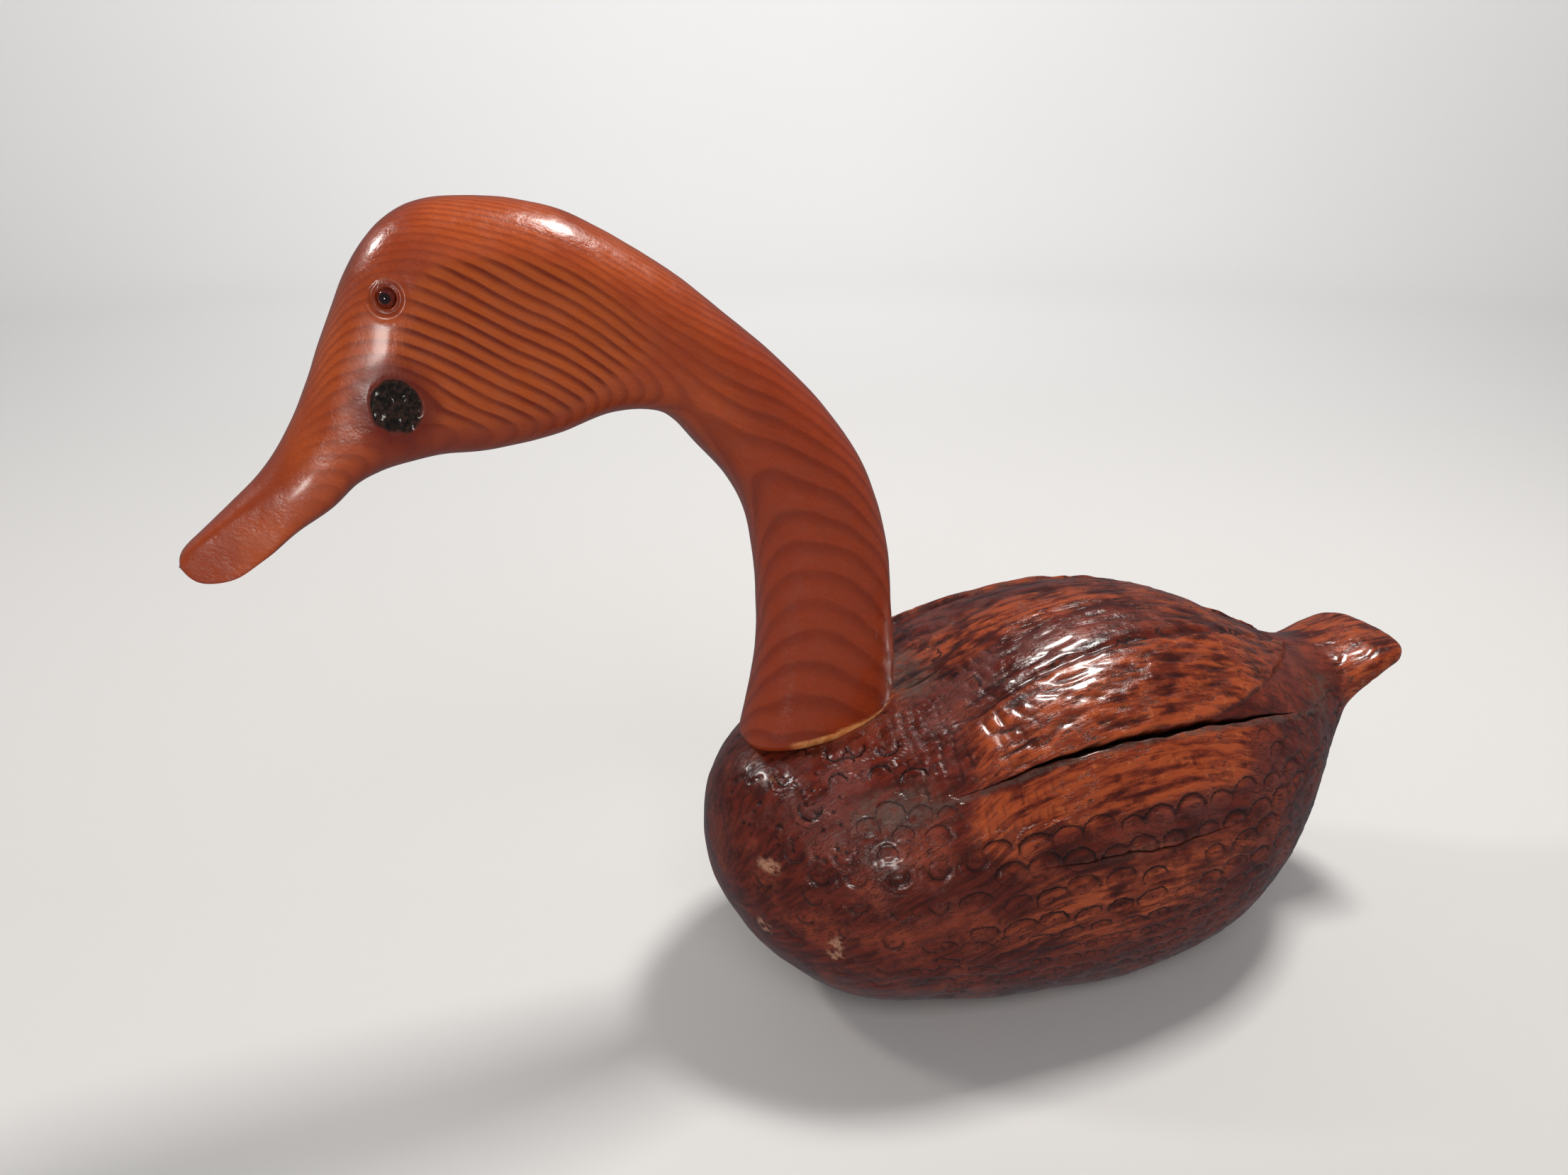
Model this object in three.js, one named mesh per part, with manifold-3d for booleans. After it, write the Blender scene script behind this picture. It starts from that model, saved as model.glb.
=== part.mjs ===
// A carved wooden duck decoy: a dark log body with cut feathers, an orange softwood neck and head
// set on it, and two glass bead eyes. Millimetres, +Z up. The bill points to -X and the tail to +X.
// The origin is on the ground, under the middle of the whole length.
import * as THREE from 'three';
import { mergeVertices } from 'three/addons/utils/BufferGeometryUtils.js';
import Module from 'manifold-3d';

const wasm = await Module();
wasm.setup();

// Gap between pieces that touch.
const clearance = 0.3;

// Body ribs, from the breast to the end of the tail:
// [along, half width, top, widest height, bottom, upper squareness, lower squareness].
// A squareness of 2 is an ellipse and a higher one is boxier. What is below the ground is cut off.
const bodyRibs = [
  [-72.5, 0, 72, 72, 72, 2.05, 2.05],
  [-71, 12, 84, 71, 59, 2.05, 2.05],
  [-66.5, 24, 95, 69, 44, 2.05, 2.05],
  [-54.5, 41, 106, 67, 25, 2.15, 2.05],
  [-30.5, 61, 113.5, 66, 6, 2.5, 2],
  [1.5, 70.5, 123.5, 66, -3, 2.9, 2],
  [37.5, 73, 139, 67, -8, 2.4, 2.1],
  [77.5, 73, 145.5, 69, -10, 2.1, 2.2],
  [115.5, 67, 139, 72, -7, 2.1, 2.25],
  [147.5, 54, 124, 76, 3, 2.1, 2.2],
  [170.5, 38, 113.5, 81, 26, 2.1, 2.1],
  [183.5, 28, 110, 87, 57, 2.2, 2.05],
  [192.5, 24, 110, 95, 82, 2.4, 2.05],
  [205.5, 24, 112, 103, 96, 2.6, 2.2],
  [218.5, 20, 112.5, 107.5, 102, 2.6, 2.4],
  [225.5, 0, 108.5, 108.5, 108.5, 2.05, 2.05],
];

// Neck, head and bill ribs, from the seat on the body to the tip of the bill:
// [back or crown along, its height, throat or chin along, its height, half width,
//  share of the rib's height at which it is widest, upper squareness, lower squareness].
const neckRibs = [
  [-4.1, 118, -59.5, 110, 18.5, 0.5, 2.4, 2.4],
  [-4, 133, -55, 130, 18.2, 0.5, 2.4, 2.4],
  [-5.5, 151, -52.8, 150, 18, 0.5, 2.4, 2.4],
  [-8.5, 178, -53.7, 172.6, 17.8, 0.5, 2.4, 2.4],
  [-15.5, 201, -56.5, 190, 18, 0.5, 2.4, 2.4],
  [-27.9, 221, -63, 203.5, 18.5, 0.5, 2.4, 2.4],
  [-44.5, 239.3, -72.5, 215, 18.6, 0.5, 2.4, 2.4],
  [-69.2, 260.5, -84.5, 227, 18.8, 0.5, 2.4, 2.5],
  [-92.5, 277.2, -100.5, 228.8, 19.8, 0.5, 2.3, 2.8],
  [-114.5, 288, -117.5, 224.5, 22.2, 0.5, 2.2, 3.2],
  [-136.5, 291.6, -136.5, 221, 22.5, 0.5, 2.2, 3.2],
  [-154.5, 289, -149.5, 220.5, 22, 0.5, 2.2, 3],
  [-168.5, 277, -158.5, 219, 20.5, 0.45, 2.3, 2.6],
  [-178.5, 258, -167.5, 217, 18, 0.4, 2.3, 2.5],
  [-185.5, 242, -175, 214, 15.5, 0.35, 2.2, 2.7],
  [-192.5, 229, -182.5, 208, 14, 0.33, 2.1, 3],
  [-200.5, 218.5, -191.5, 202.5, 13.5, 0.33, 2.1, 3],
  [-209.5, 210.3, -201, 195.5, 14, 0.33, 2.1, 3],
  [-218.5, 202.5, -210.5, 190, 13.5, 0.33, 2.1, 3],
  [-223.8, 197.5, -219.5, 189, 9.5, 0.33, 2.1, 2.6],
  [-225.5, 193, -225.5, 193, 0, 0.33, 2.1, 2.1],
];

// The neck's foot stands this deep in a seat cut in the body. The cut is open upward for this height.
const seatDepth = 2;
const seatCutRise = 16;

// Flat facets cut on each side of the head: [point on the facet, outward direction], for the left.
const cheekFacet = [new THREE.Vector3(-130, -19.5, 250), new THREE.Vector3(0, -1, 0)];
const eyeFacet = [new THREE.Vector3(-158, -19.5, 262), new THREE.Vector3(-0.3, -0.95, 0.08).normalize()];
const facetSoftness = 0.7;

// The eye is a bead in a drilled socket with a ring cut round it.
const eyeAlong = -162.5;
const eyeHeight = 267;
const beadRadius = 2.7;
const beadProud = 1.2;
const ringRadius = 3.9;
const ringCutRadius = 0.6;
const ballSides = 12;
const ballRings = 6;
const ringSides = 4;
const ringSteps = 14;

// A dark knot leaves a shallow pit low on the left cheek.
const knotAlong = -163;
const knotHeight = 238;
const knotHalfWidth = 7;
const knotHalfHeight = 7.8;
const knotDepth = 1;

// Wings stand proud of the body. Their edges are given by an angle round the body, from the top:
// the angle at the tip, how much wider the wing sweeps before it, and where it starts to bend in.
// A groove runs along the upper edge, and the borders say over what width each edge rises.
const wingLift = 1.8;
const wingTip = 171.5;
const wingFrontStart = -4;
const wingFrontEnd = 12;
const wingUpperEdge = { tipAngle: 4, sweep: 20.5, bendStart: 72.5 };
const wingLowerEdge = { tipAngle: 5, sweep: 47.5, bendStart: 82.5 };
const wingEdgeRoundness = 0.75;
const wingGrooveDepth = 1.2;
const wingGrooveWidth = 1.8;
const wingUpperBorder = 3;
const wingLowerBorder = 1.5;
const wingTipBorder = 4;

// A drying crack runs along the left wing's lower edge, and a thinner one along the flank. Each is
// a wedge towards the pith that starts a little above the surface and narrows to its two ends.
const wingCrack = { from: -5, to: 140, angleFrom: 51, angleTo: 54.5, width: 2.6, depth: 13 };
const flankCrack = { from: 20, to: 104, angleFrom: 82, angleTo: 83, width: 0.9, depth: 3 };
const crackSteps = 12;
const crackRise = 3;
const crackEndShare = 0.02;
const crackTaper = 0.8;

// Rows of U-shaped gouge cuts on each side: angle from the top, first place along, pitch and count.
const gougeRows = [
  { angle: 24, from: -42, pitch: 11, count: 5 },
  { angle: 68, from: -49, pitch: 13.5, count: 4 },
  { angle: 80, from: -42, pitch: 13.5, count: 4 },
  { angle: 74, from: 44, pitch: 15, count: 3 },
  { angle: 92, from: 36, pitch: 15, count: 3 },
];
const gougeRadius = 4;
const gougeWidth = 2;
const gougeDepth = 1.3;
const gougeEndShare = 0.25;
const gougeSteps = 4;

// The growth rings of the body's log lie round a straight line at this height.
const pithHeight = 68;

// Where each half of a body rib has its corners: as shares of the back between the wings, of the
// wing, and of the flank below it, so that the corners follow the wing's edges.
const backCorners = [0, 0.45, 0.82];
const wingCorners = [0, 0.12, 0.45, 0.75, 0.94, 1];
const flankCorners = [0.03, 0.11, 0.2, 0.29, 0.38, 0.47, 0.57, 0.67, 0.77, 0.87, 1];
const cornersRelaxAt = 206;
const ringsPerBodyRib = 3;
const ringsPerNeckRib = 3;
const neckCorners = 18;

const degree = Math.PI / 180;

// Smooth curve through the rows of a table, at a place counted in rows.
function rowAt(rows, place) {
  const last = rows.length - 1;
  const index = Math.min(Math.floor(place), last - 1);
  const part = place - index;
  return rows[index].map((start, column) => {
    const end = rows[index + 1][column];
    const before = index > 0 ? rows[index - 1][column] : 2 * start - end;
    const after = index + 2 <= last ? rows[index + 2][column] : 2 * end - start;
    const slope = end - before;
    const bend = 2 * before - 5 * start + 4 * end - after;
    const twist = 3 * start - before - 3 * end + after;
    return 0.5 * (2 * start + part * (slope + part * (bend + part * twist)));
  });
}

function bodyRibAt(place) {
  const [along, halfWidth, top, widest, bottom, upper, lower] = rowAt(bodyRibs, place);
  const share = top > bottom ? (widest - bottom) / (top - bottom) : 0.5;
  return { upperX: along, upperZ: top, lowerX: along, lowerZ: bottom, halfWidth, share, upper, lower };
}

function neckRibAt(place) {
  const [upperX, upperZ, lowerX, lowerZ, halfWidth, share, upper, lower] = rowAt(neckRibs, place);
  return { upperX, upperZ, lowerX, lowerZ, halfWidth, share, upper, lower };
}

// Point on a rib's outline. The angle is 0 at the top, 90 on the left (-Y) and 180 at the bottom.
function ribPoint(rib, angle) {
  const up = Math.cos(angle * degree);
  const side = Math.sin(angle * degree);
  const power = 2 / (up >= 0 ? rib.upper : rib.lower);
  const height = Math.sign(up) * Math.abs(up) ** power;
  const width = Math.sign(side) * Math.abs(side) ** power;
  const share = rib.share + height * (height >= 0 ? 1 - rib.share : rib.share);
  return new THREE.Vector3(
    THREE.MathUtils.lerp(rib.lowerX, rib.upperX, share),
    -rib.halfWidth * width,
    THREE.MathUtils.lerp(rib.lowerZ, rib.upperZ, share),
  );
}

// Closed skin over rings of points, with a fan at each end.
function skin(rings) {
  const sides = rings[0].length;
  const centre = (ring) => ring.reduce((sum, p) => sum.add(p), new THREE.Vector3()).divideScalar(sides);
  const points = [...rings.flat(), centre(rings[0]), centre(rings.at(-1))];
  const firstCentre = rings.length * sides;
  const lastRing = (rings.length - 1) * sides;
  const index = [];
  for (let side = 0; side < sides; side++) {
    const next = (side + 1) % sides;
    for (let ring = 0; ring < lastRing; ring += sides) {
      index.push(ring + side, ring + next, ring + sides + next);
      index.push(ring + side, ring + sides + next, ring + sides + side);
    }
    index.push(firstCentre, next, side);
    index.push(firstCentre + 1, lastRing + side, lastRing + next);
  }
  const geometry = new THREE.BufferGeometry().setFromPoints(points);
  geometry.setIndex(index);
  return geometry;
}

// Solid from a closed mesh, with its faces turned outward and its collapsed triangles dropped.
function solid(geometry) {
  const bare = geometry.clone();
  bare.deleteAttribute('normal');
  bare.deleteAttribute('uv');
  const merged = mergeVertices(bare, 1e-4);
  const corners = merged.index.array;
  const at = (corner) => new THREE.Vector3().fromBufferAttribute(merged.attributes.position, corner);
  const kept = [];
  let volume = 0;
  for (let i = 0; i < corners.length; i += 3) {
    const [a, b, c] = corners.slice(i, i + 3);
    if (a === b || b === c || c === a) continue;
    kept.push(a, b, c);
    volume += at(a).dot(at(b).cross(at(c)));
  }
  return new wasm.Manifold(new wasm.Mesh({
    numProp: 3,
    vertProperties: new Float32Array(merged.attributes.position.array),
    triVerts: new Uint32Array(volume < 0 ? kept.reverse() : kept),
  }));
}

function meshOf(name, shape, material) {
  const { vertProperties, triVerts } = shape.getMesh();
  const geometry = new THREE.BufferGeometry();
  geometry.setAttribute('position', new THREE.BufferAttribute(vertProperties, 3));
  geometry.setIndex(new THREE.BufferAttribute(triVerts, 1));
  geometry.computeVertexNormals();
  const mesh = new THREE.Mesh(geometry, material);
  mesh.name = name;
  return mesh;
}

// Angle of a wing's edge from the top, at a place along the body.
function edgeAngle(edge, along) {
  const bend = THREE.MathUtils.clamp((along - edge.bendStart) / (wingTip - edge.bendStart), 0, 1);
  return edge.tipAngle + edge.sweep * (1 - bend * bend) ** wingEdgeRoundness;
}

// Height of the carved surface over the plain body, at a place along it and an angle from the top.
function relief(along, angle, halfWidth) {
  const reach = halfWidth * degree;
  const belowUpper = (angle - edgeAngle(wingUpperEdge, along)) * reach;
  const aboveLower = (edgeAngle(wingLowerEdge, along) - angle) * reach;
  const front = THREE.MathUtils.smoothstep(along, wingFrontStart, wingFrontEnd);
  const rear = THREE.MathUtils.smoothstep(wingTip + wingTipBorder / 2 - along, 0, wingTipBorder);
  const upper = THREE.MathUtils.smoothstep(belowUpper, 0, wingUpperBorder);
  const lower = THREE.MathUtils.smoothstep(aboveLower, 0, wingLowerBorder);
  const groove = wingGrooveDepth * Math.exp(-((belowUpper / wingGrooveWidth) ** 2));
  return front * rear * (wingLift * upper * lower - groove);
}

// Point on the carved body: the relief lifts it along the outward direction of its rib, which is
// square to the outline between a degree before it and a degree after it.
function bodyPoint(place, angle) {
  const rib = bodyRibAt(place);
  const point = ribPoint(rib, angle);
  const before = ribPoint(rib, angle - 1);
  const after = ribPoint(rib, angle + 1);
  const outward = new THREE.Vector3(0, before.z - after.z, after.y - before.y);
  const turn = Math.min(angle, 360 - angle);
  if (turn > 0 && turn < 90) {
    point.addScaledVector(outward.normalize(), -relief(rib.upperX, turn, rib.halfWidth));
  }
  return point;
}

// Angles of a rib's corners. Behind the wing tips they spread out again over the tail.
function cornerAngles(along) {
  const relax = THREE.MathUtils.smoothstep(along, wingTip, cornersRelaxAt);
  const upper = THREE.MathUtils.lerp(edgeAngle(wingUpperEdge, along), edgeAngle(wingUpperEdge, 0), relax);
  const lower = THREE.MathUtils.lerp(edgeAngle(wingLowerEdge, along), edgeAngle(wingLowerEdge, 0), relax);
  const half = [
    ...backCorners.map((share) => share * upper),
    ...wingCorners.map((share) => THREE.MathUtils.lerp(upper, lower, share)),
    ...flankCorners.map((share) => THREE.MathUtils.lerp(lower, 180, share)),
  ];
  return [...half, ...half.slice(1, -1).reverse().map((angle) => 360 - angle)];
}

function bodyShell() {
  const rings = [];
  const steps = (bodyRibs.length - 1) * ringsPerBodyRib;
  for (let step = 0; step <= steps; step++) {
    const place = step / ringsPerBodyRib;
    const angles = cornerAngles(rowAt(bodyRibs, place)[0]);
    rings.push(angles.map((angle) => bodyPoint(place, angle)));
  }
  return solid(skin(rings));
}

// Place along the rib table of a point along the body.
function placeAlong(along) {
  const halvings = 30;
  let low = 0;
  let high = bodyRibs.length - 1;
  for (let pass = 0; pass < halvings; pass++) {
    const middle = (low + high) / 2;
    if (rowAt(bodyRibs, middle)[0] < along) low = middle;
    else high = middle;
  }
  return low;
}

// Thin wedge that opens a crack from one place on the body's left side to another.
function crackWedge(crack) {
  const rings = [];
  for (let step = 0; step <= crackSteps; step++) {
    const share = step / crackSteps;
    const along = THREE.MathUtils.lerp(crack.from, crack.to, share);
    const angle = THREE.MathUtils.lerp(crack.angleFrom, crack.angleTo, share);
    const place = placeAlong(along);
    const surface = bodyPoint(place, angle);
    const outward = new THREE.Vector3(0, surface.y, surface.z - pithHeight).normalize();
    const downward = new THREE.Vector3(0, -outward.z, outward.y);
    const nearEnd = THREE.MathUtils.clamp(share, crackEndShare, 1 - crackEndShare);
    const open = Math.sin(Math.PI * nearEnd) ** crackTaper;
    const depth = crack.depth * open;
    const lip = surface.clone().addScaledVector(outward, crackRise);
    const half = crack.width * open * (crackRise + depth) / depth / 2;
    rings.push([
      lip.clone().addScaledVector(downward, -half),
      surface.clone().addScaledVector(outward, -depth),
      lip.clone().addScaledVector(downward, half),
    ]);
  }
  return solid(skin(rings));
}

// U-shaped cut of a gouge pressed into the wood, open towards the top of the body. The surface's
// directions are taken between near neighbours of the place.
function gougeCut(place, angle, side) {
  const nearAngle = 2 * side;
  const nearPlace = 0.1;
  const turn = side > 0 ? angle : 360 - angle;
  const surface = bodyPoint(place, turn);
  const downward = bodyPoint(place, turn + nearAngle).sub(bodyPoint(place, turn - nearAngle)).normalize();
  const ahead = bodyPoint(place + nearPlace, turn).sub(bodyPoint(place - nearPlace, turn)).normalize();
  const outward = new THREE.Vector3().crossVectors(ahead, downward).multiplyScalar(side).normalize();
  const rings = [];
  for (let step = 0; step <= gougeSteps; step++) {
    const swing = Math.PI * step / gougeSteps;
    const open = THREE.MathUtils.lerp(gougeEndShare, 1, Math.sin(swing));
    const direction = ahead.clone().multiplyScalar(Math.cos(swing)).addScaledVector(downward, Math.sin(swing));
    const middle = surface.clone().addScaledVector(direction, gougeRadius);
    const half = gougeWidth * open;
    rings.push([
      middle.clone().addScaledVector(outward, gougeDepth).addScaledVector(direction, -half),
      middle.clone().addScaledVector(outward, -gougeDepth * open),
      middle.clone().addScaledVector(outward, gougeDepth).addScaledVector(direction, half),
    ]);
  }
  return solid(skin(rings));
}

// Direction square to the seat, up into the neck.
const seatRib = neckRibAt(0);
const seatSlope = new THREE.Vector3(seatRib.lowerZ - seatRib.upperZ, 0, seatRib.upperX - seatRib.lowerX);
const seatNormal = seatSlope.normalize();

// Outline of the neck's foot, grown outward and raised along the neck.
function seatRing(grow, rise) {
  const ring = [];
  for (let corner = 0; corner < neckCorners; corner++) {
    const point = ribPoint(seatRib, corner * 360 / neckCorners);
    const middleX = (seatRib.upperX + seatRib.lowerX) / 2;
    const outward = new THREE.Vector3(point.x - middleX, point.y * 2, 0).normalize();
    ring.push(point.addScaledVector(outward, grow).addScaledVector(seatNormal, rise));
  }
  return ring;
}

// Pocket for the neck's foot. It is a little wider than the clearance, because its sides are flats.
function seatCut() {
  const grown = clearance * 1.5;
  const top = seatRing(grown, 0).map((point) => point.setZ(point.z + seatCutRise));
  return solid(skin([seatRing(grown, -seatDepth - clearance), seatRing(grown, 0), top]));
}

// Cuts a flat facet on both sides of the head, with a softly rounded border.
function cutFacet(point, [origin, direction]) {
  const mirror = point.y > 0 ? -1 : 1;
  const left = new THREE.Vector3(point.x, point.y * mirror, point.z);
  const beyond = left.clone().sub(origin).dot(direction);
  const kept = -facetSoftness * Math.log1p(Math.exp(-beyond / facetSoftness));
  left.addScaledVector(direction, kept - beyond);
  return point.set(left.x, Math.min(left.y, 0) * mirror, left.z);
}

// Point on the carved head and neck. The points on the middle line stay where they are.
function headPoint(place, angle) {
  const point = ribPoint(neckRibAt(place), angle);
  const onMiddleLine = Math.abs(point.y) < 1e-6;
  return onMiddleLine ? point : cutFacet(cutFacet(point, cheekFacet), eyeFacet);
}

function headShell() {
  const rings = [seatRing(0, -seatDepth)];
  const steps = (neckRibs.length - 1) * ringsPerNeckRib;
  for (let step = 0; step <= steps; step++) {
    const ring = [];
    for (let corner = 0; corner < neckCorners; corner++) {
      ring.push(headPoint(step / ringsPerNeckRib, corner * 360 / neckCorners));
    }
    rings.push(ring);
  }
  return solid(skin(rings));
}

// Where a line along Y, from well outside, meets the side of the head: the surface point and the
// outward direction.
function onHead(headMesh, along, height, side) {
  const outside = 100 * side;
  const ray = new THREE.Raycaster(
    new THREE.Vector3(along, outside, height),
    new THREE.Vector3(0, -side, 0),
  );
  const hit = ray.intersectObject(headMesh)[0];
  return { point: hit.point, outward: hit.face.normal.clone() };
}

// Turns a shape's +Z to the outward direction and moves it to the point.
function placed(geometry, point, outward) {
  const turn = new THREE.Quaternion().setFromUnitVectors(new THREE.Vector3(0, 0, 1), outward);
  return geometry.applyQuaternion(turn).translate(point.x, point.y, point.z);
}

const wood = new THREE.MeshStandardMaterial({ color: 0x5a1f10, roughness: 0.38, metalness: 0 });
const varnished = new THREE.MeshStandardMaterial({ color: 0xb5561c, roughness: 0.25, metalness: 0 });
const bead = new THREE.MeshStandardMaterial({ color: 0x3a0a06, roughness: 0.08, metalness: 0 });

// Body
const groundDepth = 100;
const ground = new THREE.BoxGeometry(600, 400, groundDepth).translate(0, 0, -groundDepth / 2);
let body = bodyShell().subtract(solid(ground)).subtract(seatCut());
body = body.subtract(crackWedge(wingCrack)).subtract(crackWedge(flankCrack));
for (const row of gougeRows) {
  for (let cut = 0; cut < row.count; cut++) {
    const place = placeAlong(row.from + cut * row.pitch);
    for (const side of [1, -1]) body = body.subtract(gougeCut(place, row.angle, side));
  }
}

// Head, neck and bill, with the eye sockets and the knot's pit
let head = headShell();
const blankHead = meshOf('blank', head, varnished);
const eyes = {};
for (const [name, side] of [['eye_left', -1], ['eye_right', 1]]) {
  const { point, outward } = onHead(blankHead, eyeAlong, eyeHeight, side);
  const centre = point.clone().addScaledVector(outward, beadProud - beadRadius);
  const socket = new THREE.SphereGeometry(beadRadius + clearance, ballSides, ballRings);
  const ring = new THREE.TorusGeometry(ringRadius, ringCutRadius, ringSides, ringSteps);
  head = head.subtract(solid(placed(socket, centre, outward)));
  head = head.subtract(solid(placed(ring, point, outward)));
  const ball = new THREE.SphereGeometry(beadRadius, ballSides, ballRings);
  eyes[name] = meshOf(name, solid(placed(ball, centre, outward)), bead);
}
const knotSpot = onHead(blankHead, knotAlong, knotHeight, -1);
const pit = new THREE.SphereGeometry(1, ballSides, ballRings).scale(knotHalfWidth, knotHalfHeight, knotDepth);
head = head.subtract(solid(placed(pit, knotSpot.point, knotSpot.outward)));

const duckDecoy = new THREE.Group();
duckDecoy.add(meshOf('body', body, wood));
duckDecoy.add(meshOf('head_and_neck', head, varnished));
duckDecoy.add(eyes.eye_left);
duckDecoy.add(eyes.eye_right);

export default duckDecoy;
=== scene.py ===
import math
import random

import bpy
import numpy as np
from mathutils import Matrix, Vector, kdtree, noise


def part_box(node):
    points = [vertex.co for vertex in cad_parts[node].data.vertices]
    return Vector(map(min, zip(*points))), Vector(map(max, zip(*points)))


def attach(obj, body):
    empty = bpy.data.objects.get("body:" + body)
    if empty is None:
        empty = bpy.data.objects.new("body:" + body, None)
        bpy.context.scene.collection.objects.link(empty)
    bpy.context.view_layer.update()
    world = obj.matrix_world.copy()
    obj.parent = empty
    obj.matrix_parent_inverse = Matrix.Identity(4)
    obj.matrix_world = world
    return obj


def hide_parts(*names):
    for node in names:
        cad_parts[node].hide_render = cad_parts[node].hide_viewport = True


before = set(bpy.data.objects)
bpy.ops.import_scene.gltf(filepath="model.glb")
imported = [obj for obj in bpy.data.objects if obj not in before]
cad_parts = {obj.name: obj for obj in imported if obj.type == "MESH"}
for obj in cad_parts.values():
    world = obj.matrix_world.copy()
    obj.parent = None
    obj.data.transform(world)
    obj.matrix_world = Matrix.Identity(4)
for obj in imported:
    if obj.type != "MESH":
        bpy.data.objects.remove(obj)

# Lengths are in millimetres up to the meshes, which are in metres. The bill points to -X, the tail
# to +X, and the decoy's left side, which the camera sees, is -Y. Angles round a rib are in degrees
# from its top, and grow down the left side.
MM = 0.001
DEGREE = math.pi / 180
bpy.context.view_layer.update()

# Body ribs: along, half width, top, widest height, bottom, upper and lower squareness.
BODY_RIBS = [
    [-72.5, 0, 72, 72, 72, 2.05, 2.05],
    [-71, 12, 84, 71, 59, 2.05, 2.05],
    [-66.5, 24, 95, 69, 44, 2.05, 2.05],
    [-54.5, 41, 106, 67, 25, 2.15, 2.05],
    [-30.5, 61, 113.5, 66, 6, 2.5, 2],
    [1.5, 70.5, 123.5, 66, -3, 2.9, 2],
    [37.5, 73, 139, 67, -8, 2.4, 2.1],
    [77.5, 73, 145.5, 69, -10, 2.1, 2.2],
    [115.5, 67, 139, 72, -7, 2.1, 2.25],
    [147.5, 54, 124, 76, 3, 2.1, 2.2],
    [170.5, 38, 113.5, 81, 26, 2.1, 2.1],
    [183.5, 28, 110, 87, 57, 2.2, 2.05],
    [192.5, 24, 110, 95, 82, 2.4, 2.05],
    [205.5, 24, 112, 103, 96, 2.6, 2.2],
    [218.5, 20, 112.5, 107.5, 102, 2.6, 2.4],
    [225.5, 0, 108.5, 108.5, 108.5, 2.05, 2.05],
]

# Neck, head and bill ribs: back or crown along and its height, throat or chin along and its height,
# half width, share of the height at which it is widest, upper and lower squareness.
NECK_RIBS = [
    [-4.1, 118, -59.5, 110, 18.5, 0.5, 2.4, 2.4],
    [-4, 133, -55, 130, 18.2, 0.5, 2.4, 2.4],
    [-5.5, 151, -52.8, 150, 18, 0.5, 2.4, 2.4],
    [-8.5, 178, -53.7, 172.6, 17.8, 0.5, 2.4, 2.4],
    [-15.5, 201, -56.5, 190, 18, 0.5, 2.4, 2.4],
    [-27.9, 221, -63, 203.5, 18.5, 0.5, 2.4, 2.4],
    [-44.5, 239.3, -72.5, 215, 18.6, 0.5, 2.4, 2.4],
    [-69.2, 260.5, -84.5, 227, 18.8, 0.5, 2.4, 2.5],
    [-92.5, 277.2, -100.5, 228.8, 19.8, 0.5, 2.3, 2.8],
    [-114.5, 288, -117.5, 224.5, 22.2, 0.5, 2.2, 3.2],
    [-136.5, 291.6, -136.5, 221, 22.5, 0.5, 2.2, 3.2],
    [-154.5, 289, -149.5, 220.5, 22, 0.5, 2.2, 3],
    [-168.5, 277, -158.5, 219, 20.5, 0.45, 2.3, 2.6],
    [-178.5, 258, -167.5, 217, 18, 0.4, 2.3, 2.5],
    [-185.5, 242, -175, 214, 15.5, 0.35, 2.2, 2.7],
    [-192.5, 229, -182.5, 208, 14, 0.33, 2.1, 3],
    [-200.5, 218.5, -191.5, 202.5, 13.5, 0.33, 2.1, 3],
    [-209.5, 210.3, -201, 195.5, 14, 0.33, 2.1, 3],
    [-218.5, 202.5, -210.5, 190, 13.5, 0.33, 2.1, 3],
    [-223.8, 197.5, -219.5, 189, 9.5, 0.33, 2.1, 2.6],
    [-225.5, 193, -225.5, 193, 0, 0.33, 2.1, 2.1],
]
SEAT_DEPTH = 2

# Wings: each edge has its angle at the tip, how much wider it sweeps, and where it bends in.
WING_LIFT = 1.8
WING_TIP = 171.5
WING_TIP_BORDER = 4
WING_FRONT = (-4, 12)
WING_UPPER_EDGE = (4, 20.5, 72.5)
WING_LOWER_EDGE = (5, 47.5, 82.5)
WING_EDGE_ROUNDNESS = 0.75
WING_GROOVE_DEPTH = 1.2
WING_GROOVE_WIDTH = 1.8
WING_UPPER_BORDER = 3
WING_LOWER_BORDER = 1.5

# Drying cracks on the left: from, to, angle at each end, width and depth.
WING_CRACK = (-5, 140, 51, 54.5, 2.6, 13)
FLANK_CRACK = (20, 104, 82, 83, 0.9, 3)
CRACK_TAPER = 0.8
CLOSED_CRACK = 0.12

# The growth rings of the body's log lie round a straight line at this height.
PITH_HEIGHT = 68

# Facets on each side of the head: a point and the outward direction, for the left.
CHEEK_FACET = ((-130, -19.5, 250), (0, -1, 0))
EYE_FACET = ((-158, -19.5, 262), (-0.3, -0.95, 0.08))
FACET_SOFTNESS = 0.7

# The eye's socket and the ring cut round it, and the knot low on the left cheek.
SOCKET_RADIUS = 3.1
SOCKET_DEPTH = 2.2
RING_RADIUS = 3.9
RING_CUT_DEPTH = 0.55
RING_CUT_WIDTH = 0.55
KNOT_PLACE = (-163, 238)
KNOT_HALF_SIZE = (7, 7.8)
KNOT_DEPTH = 1

# The growth rings of the neck's board are nearly flat sheets: close together at the head, and
# wider apart down the neck. The fibres lie in the sheets.
SHEET_SLOPE = (0.5, 1.8)
HEAD_RING_PITCH = 4.5
NECK_RING_PITCH = 11.2
HEAD_TO_NECK_RINGS = 46
FIBRE_DIRECTION = np.array([0.895, 0, -0.446])
SHEET_DIRECTION = np.array([0.23, 0.85, 0.47])


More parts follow.
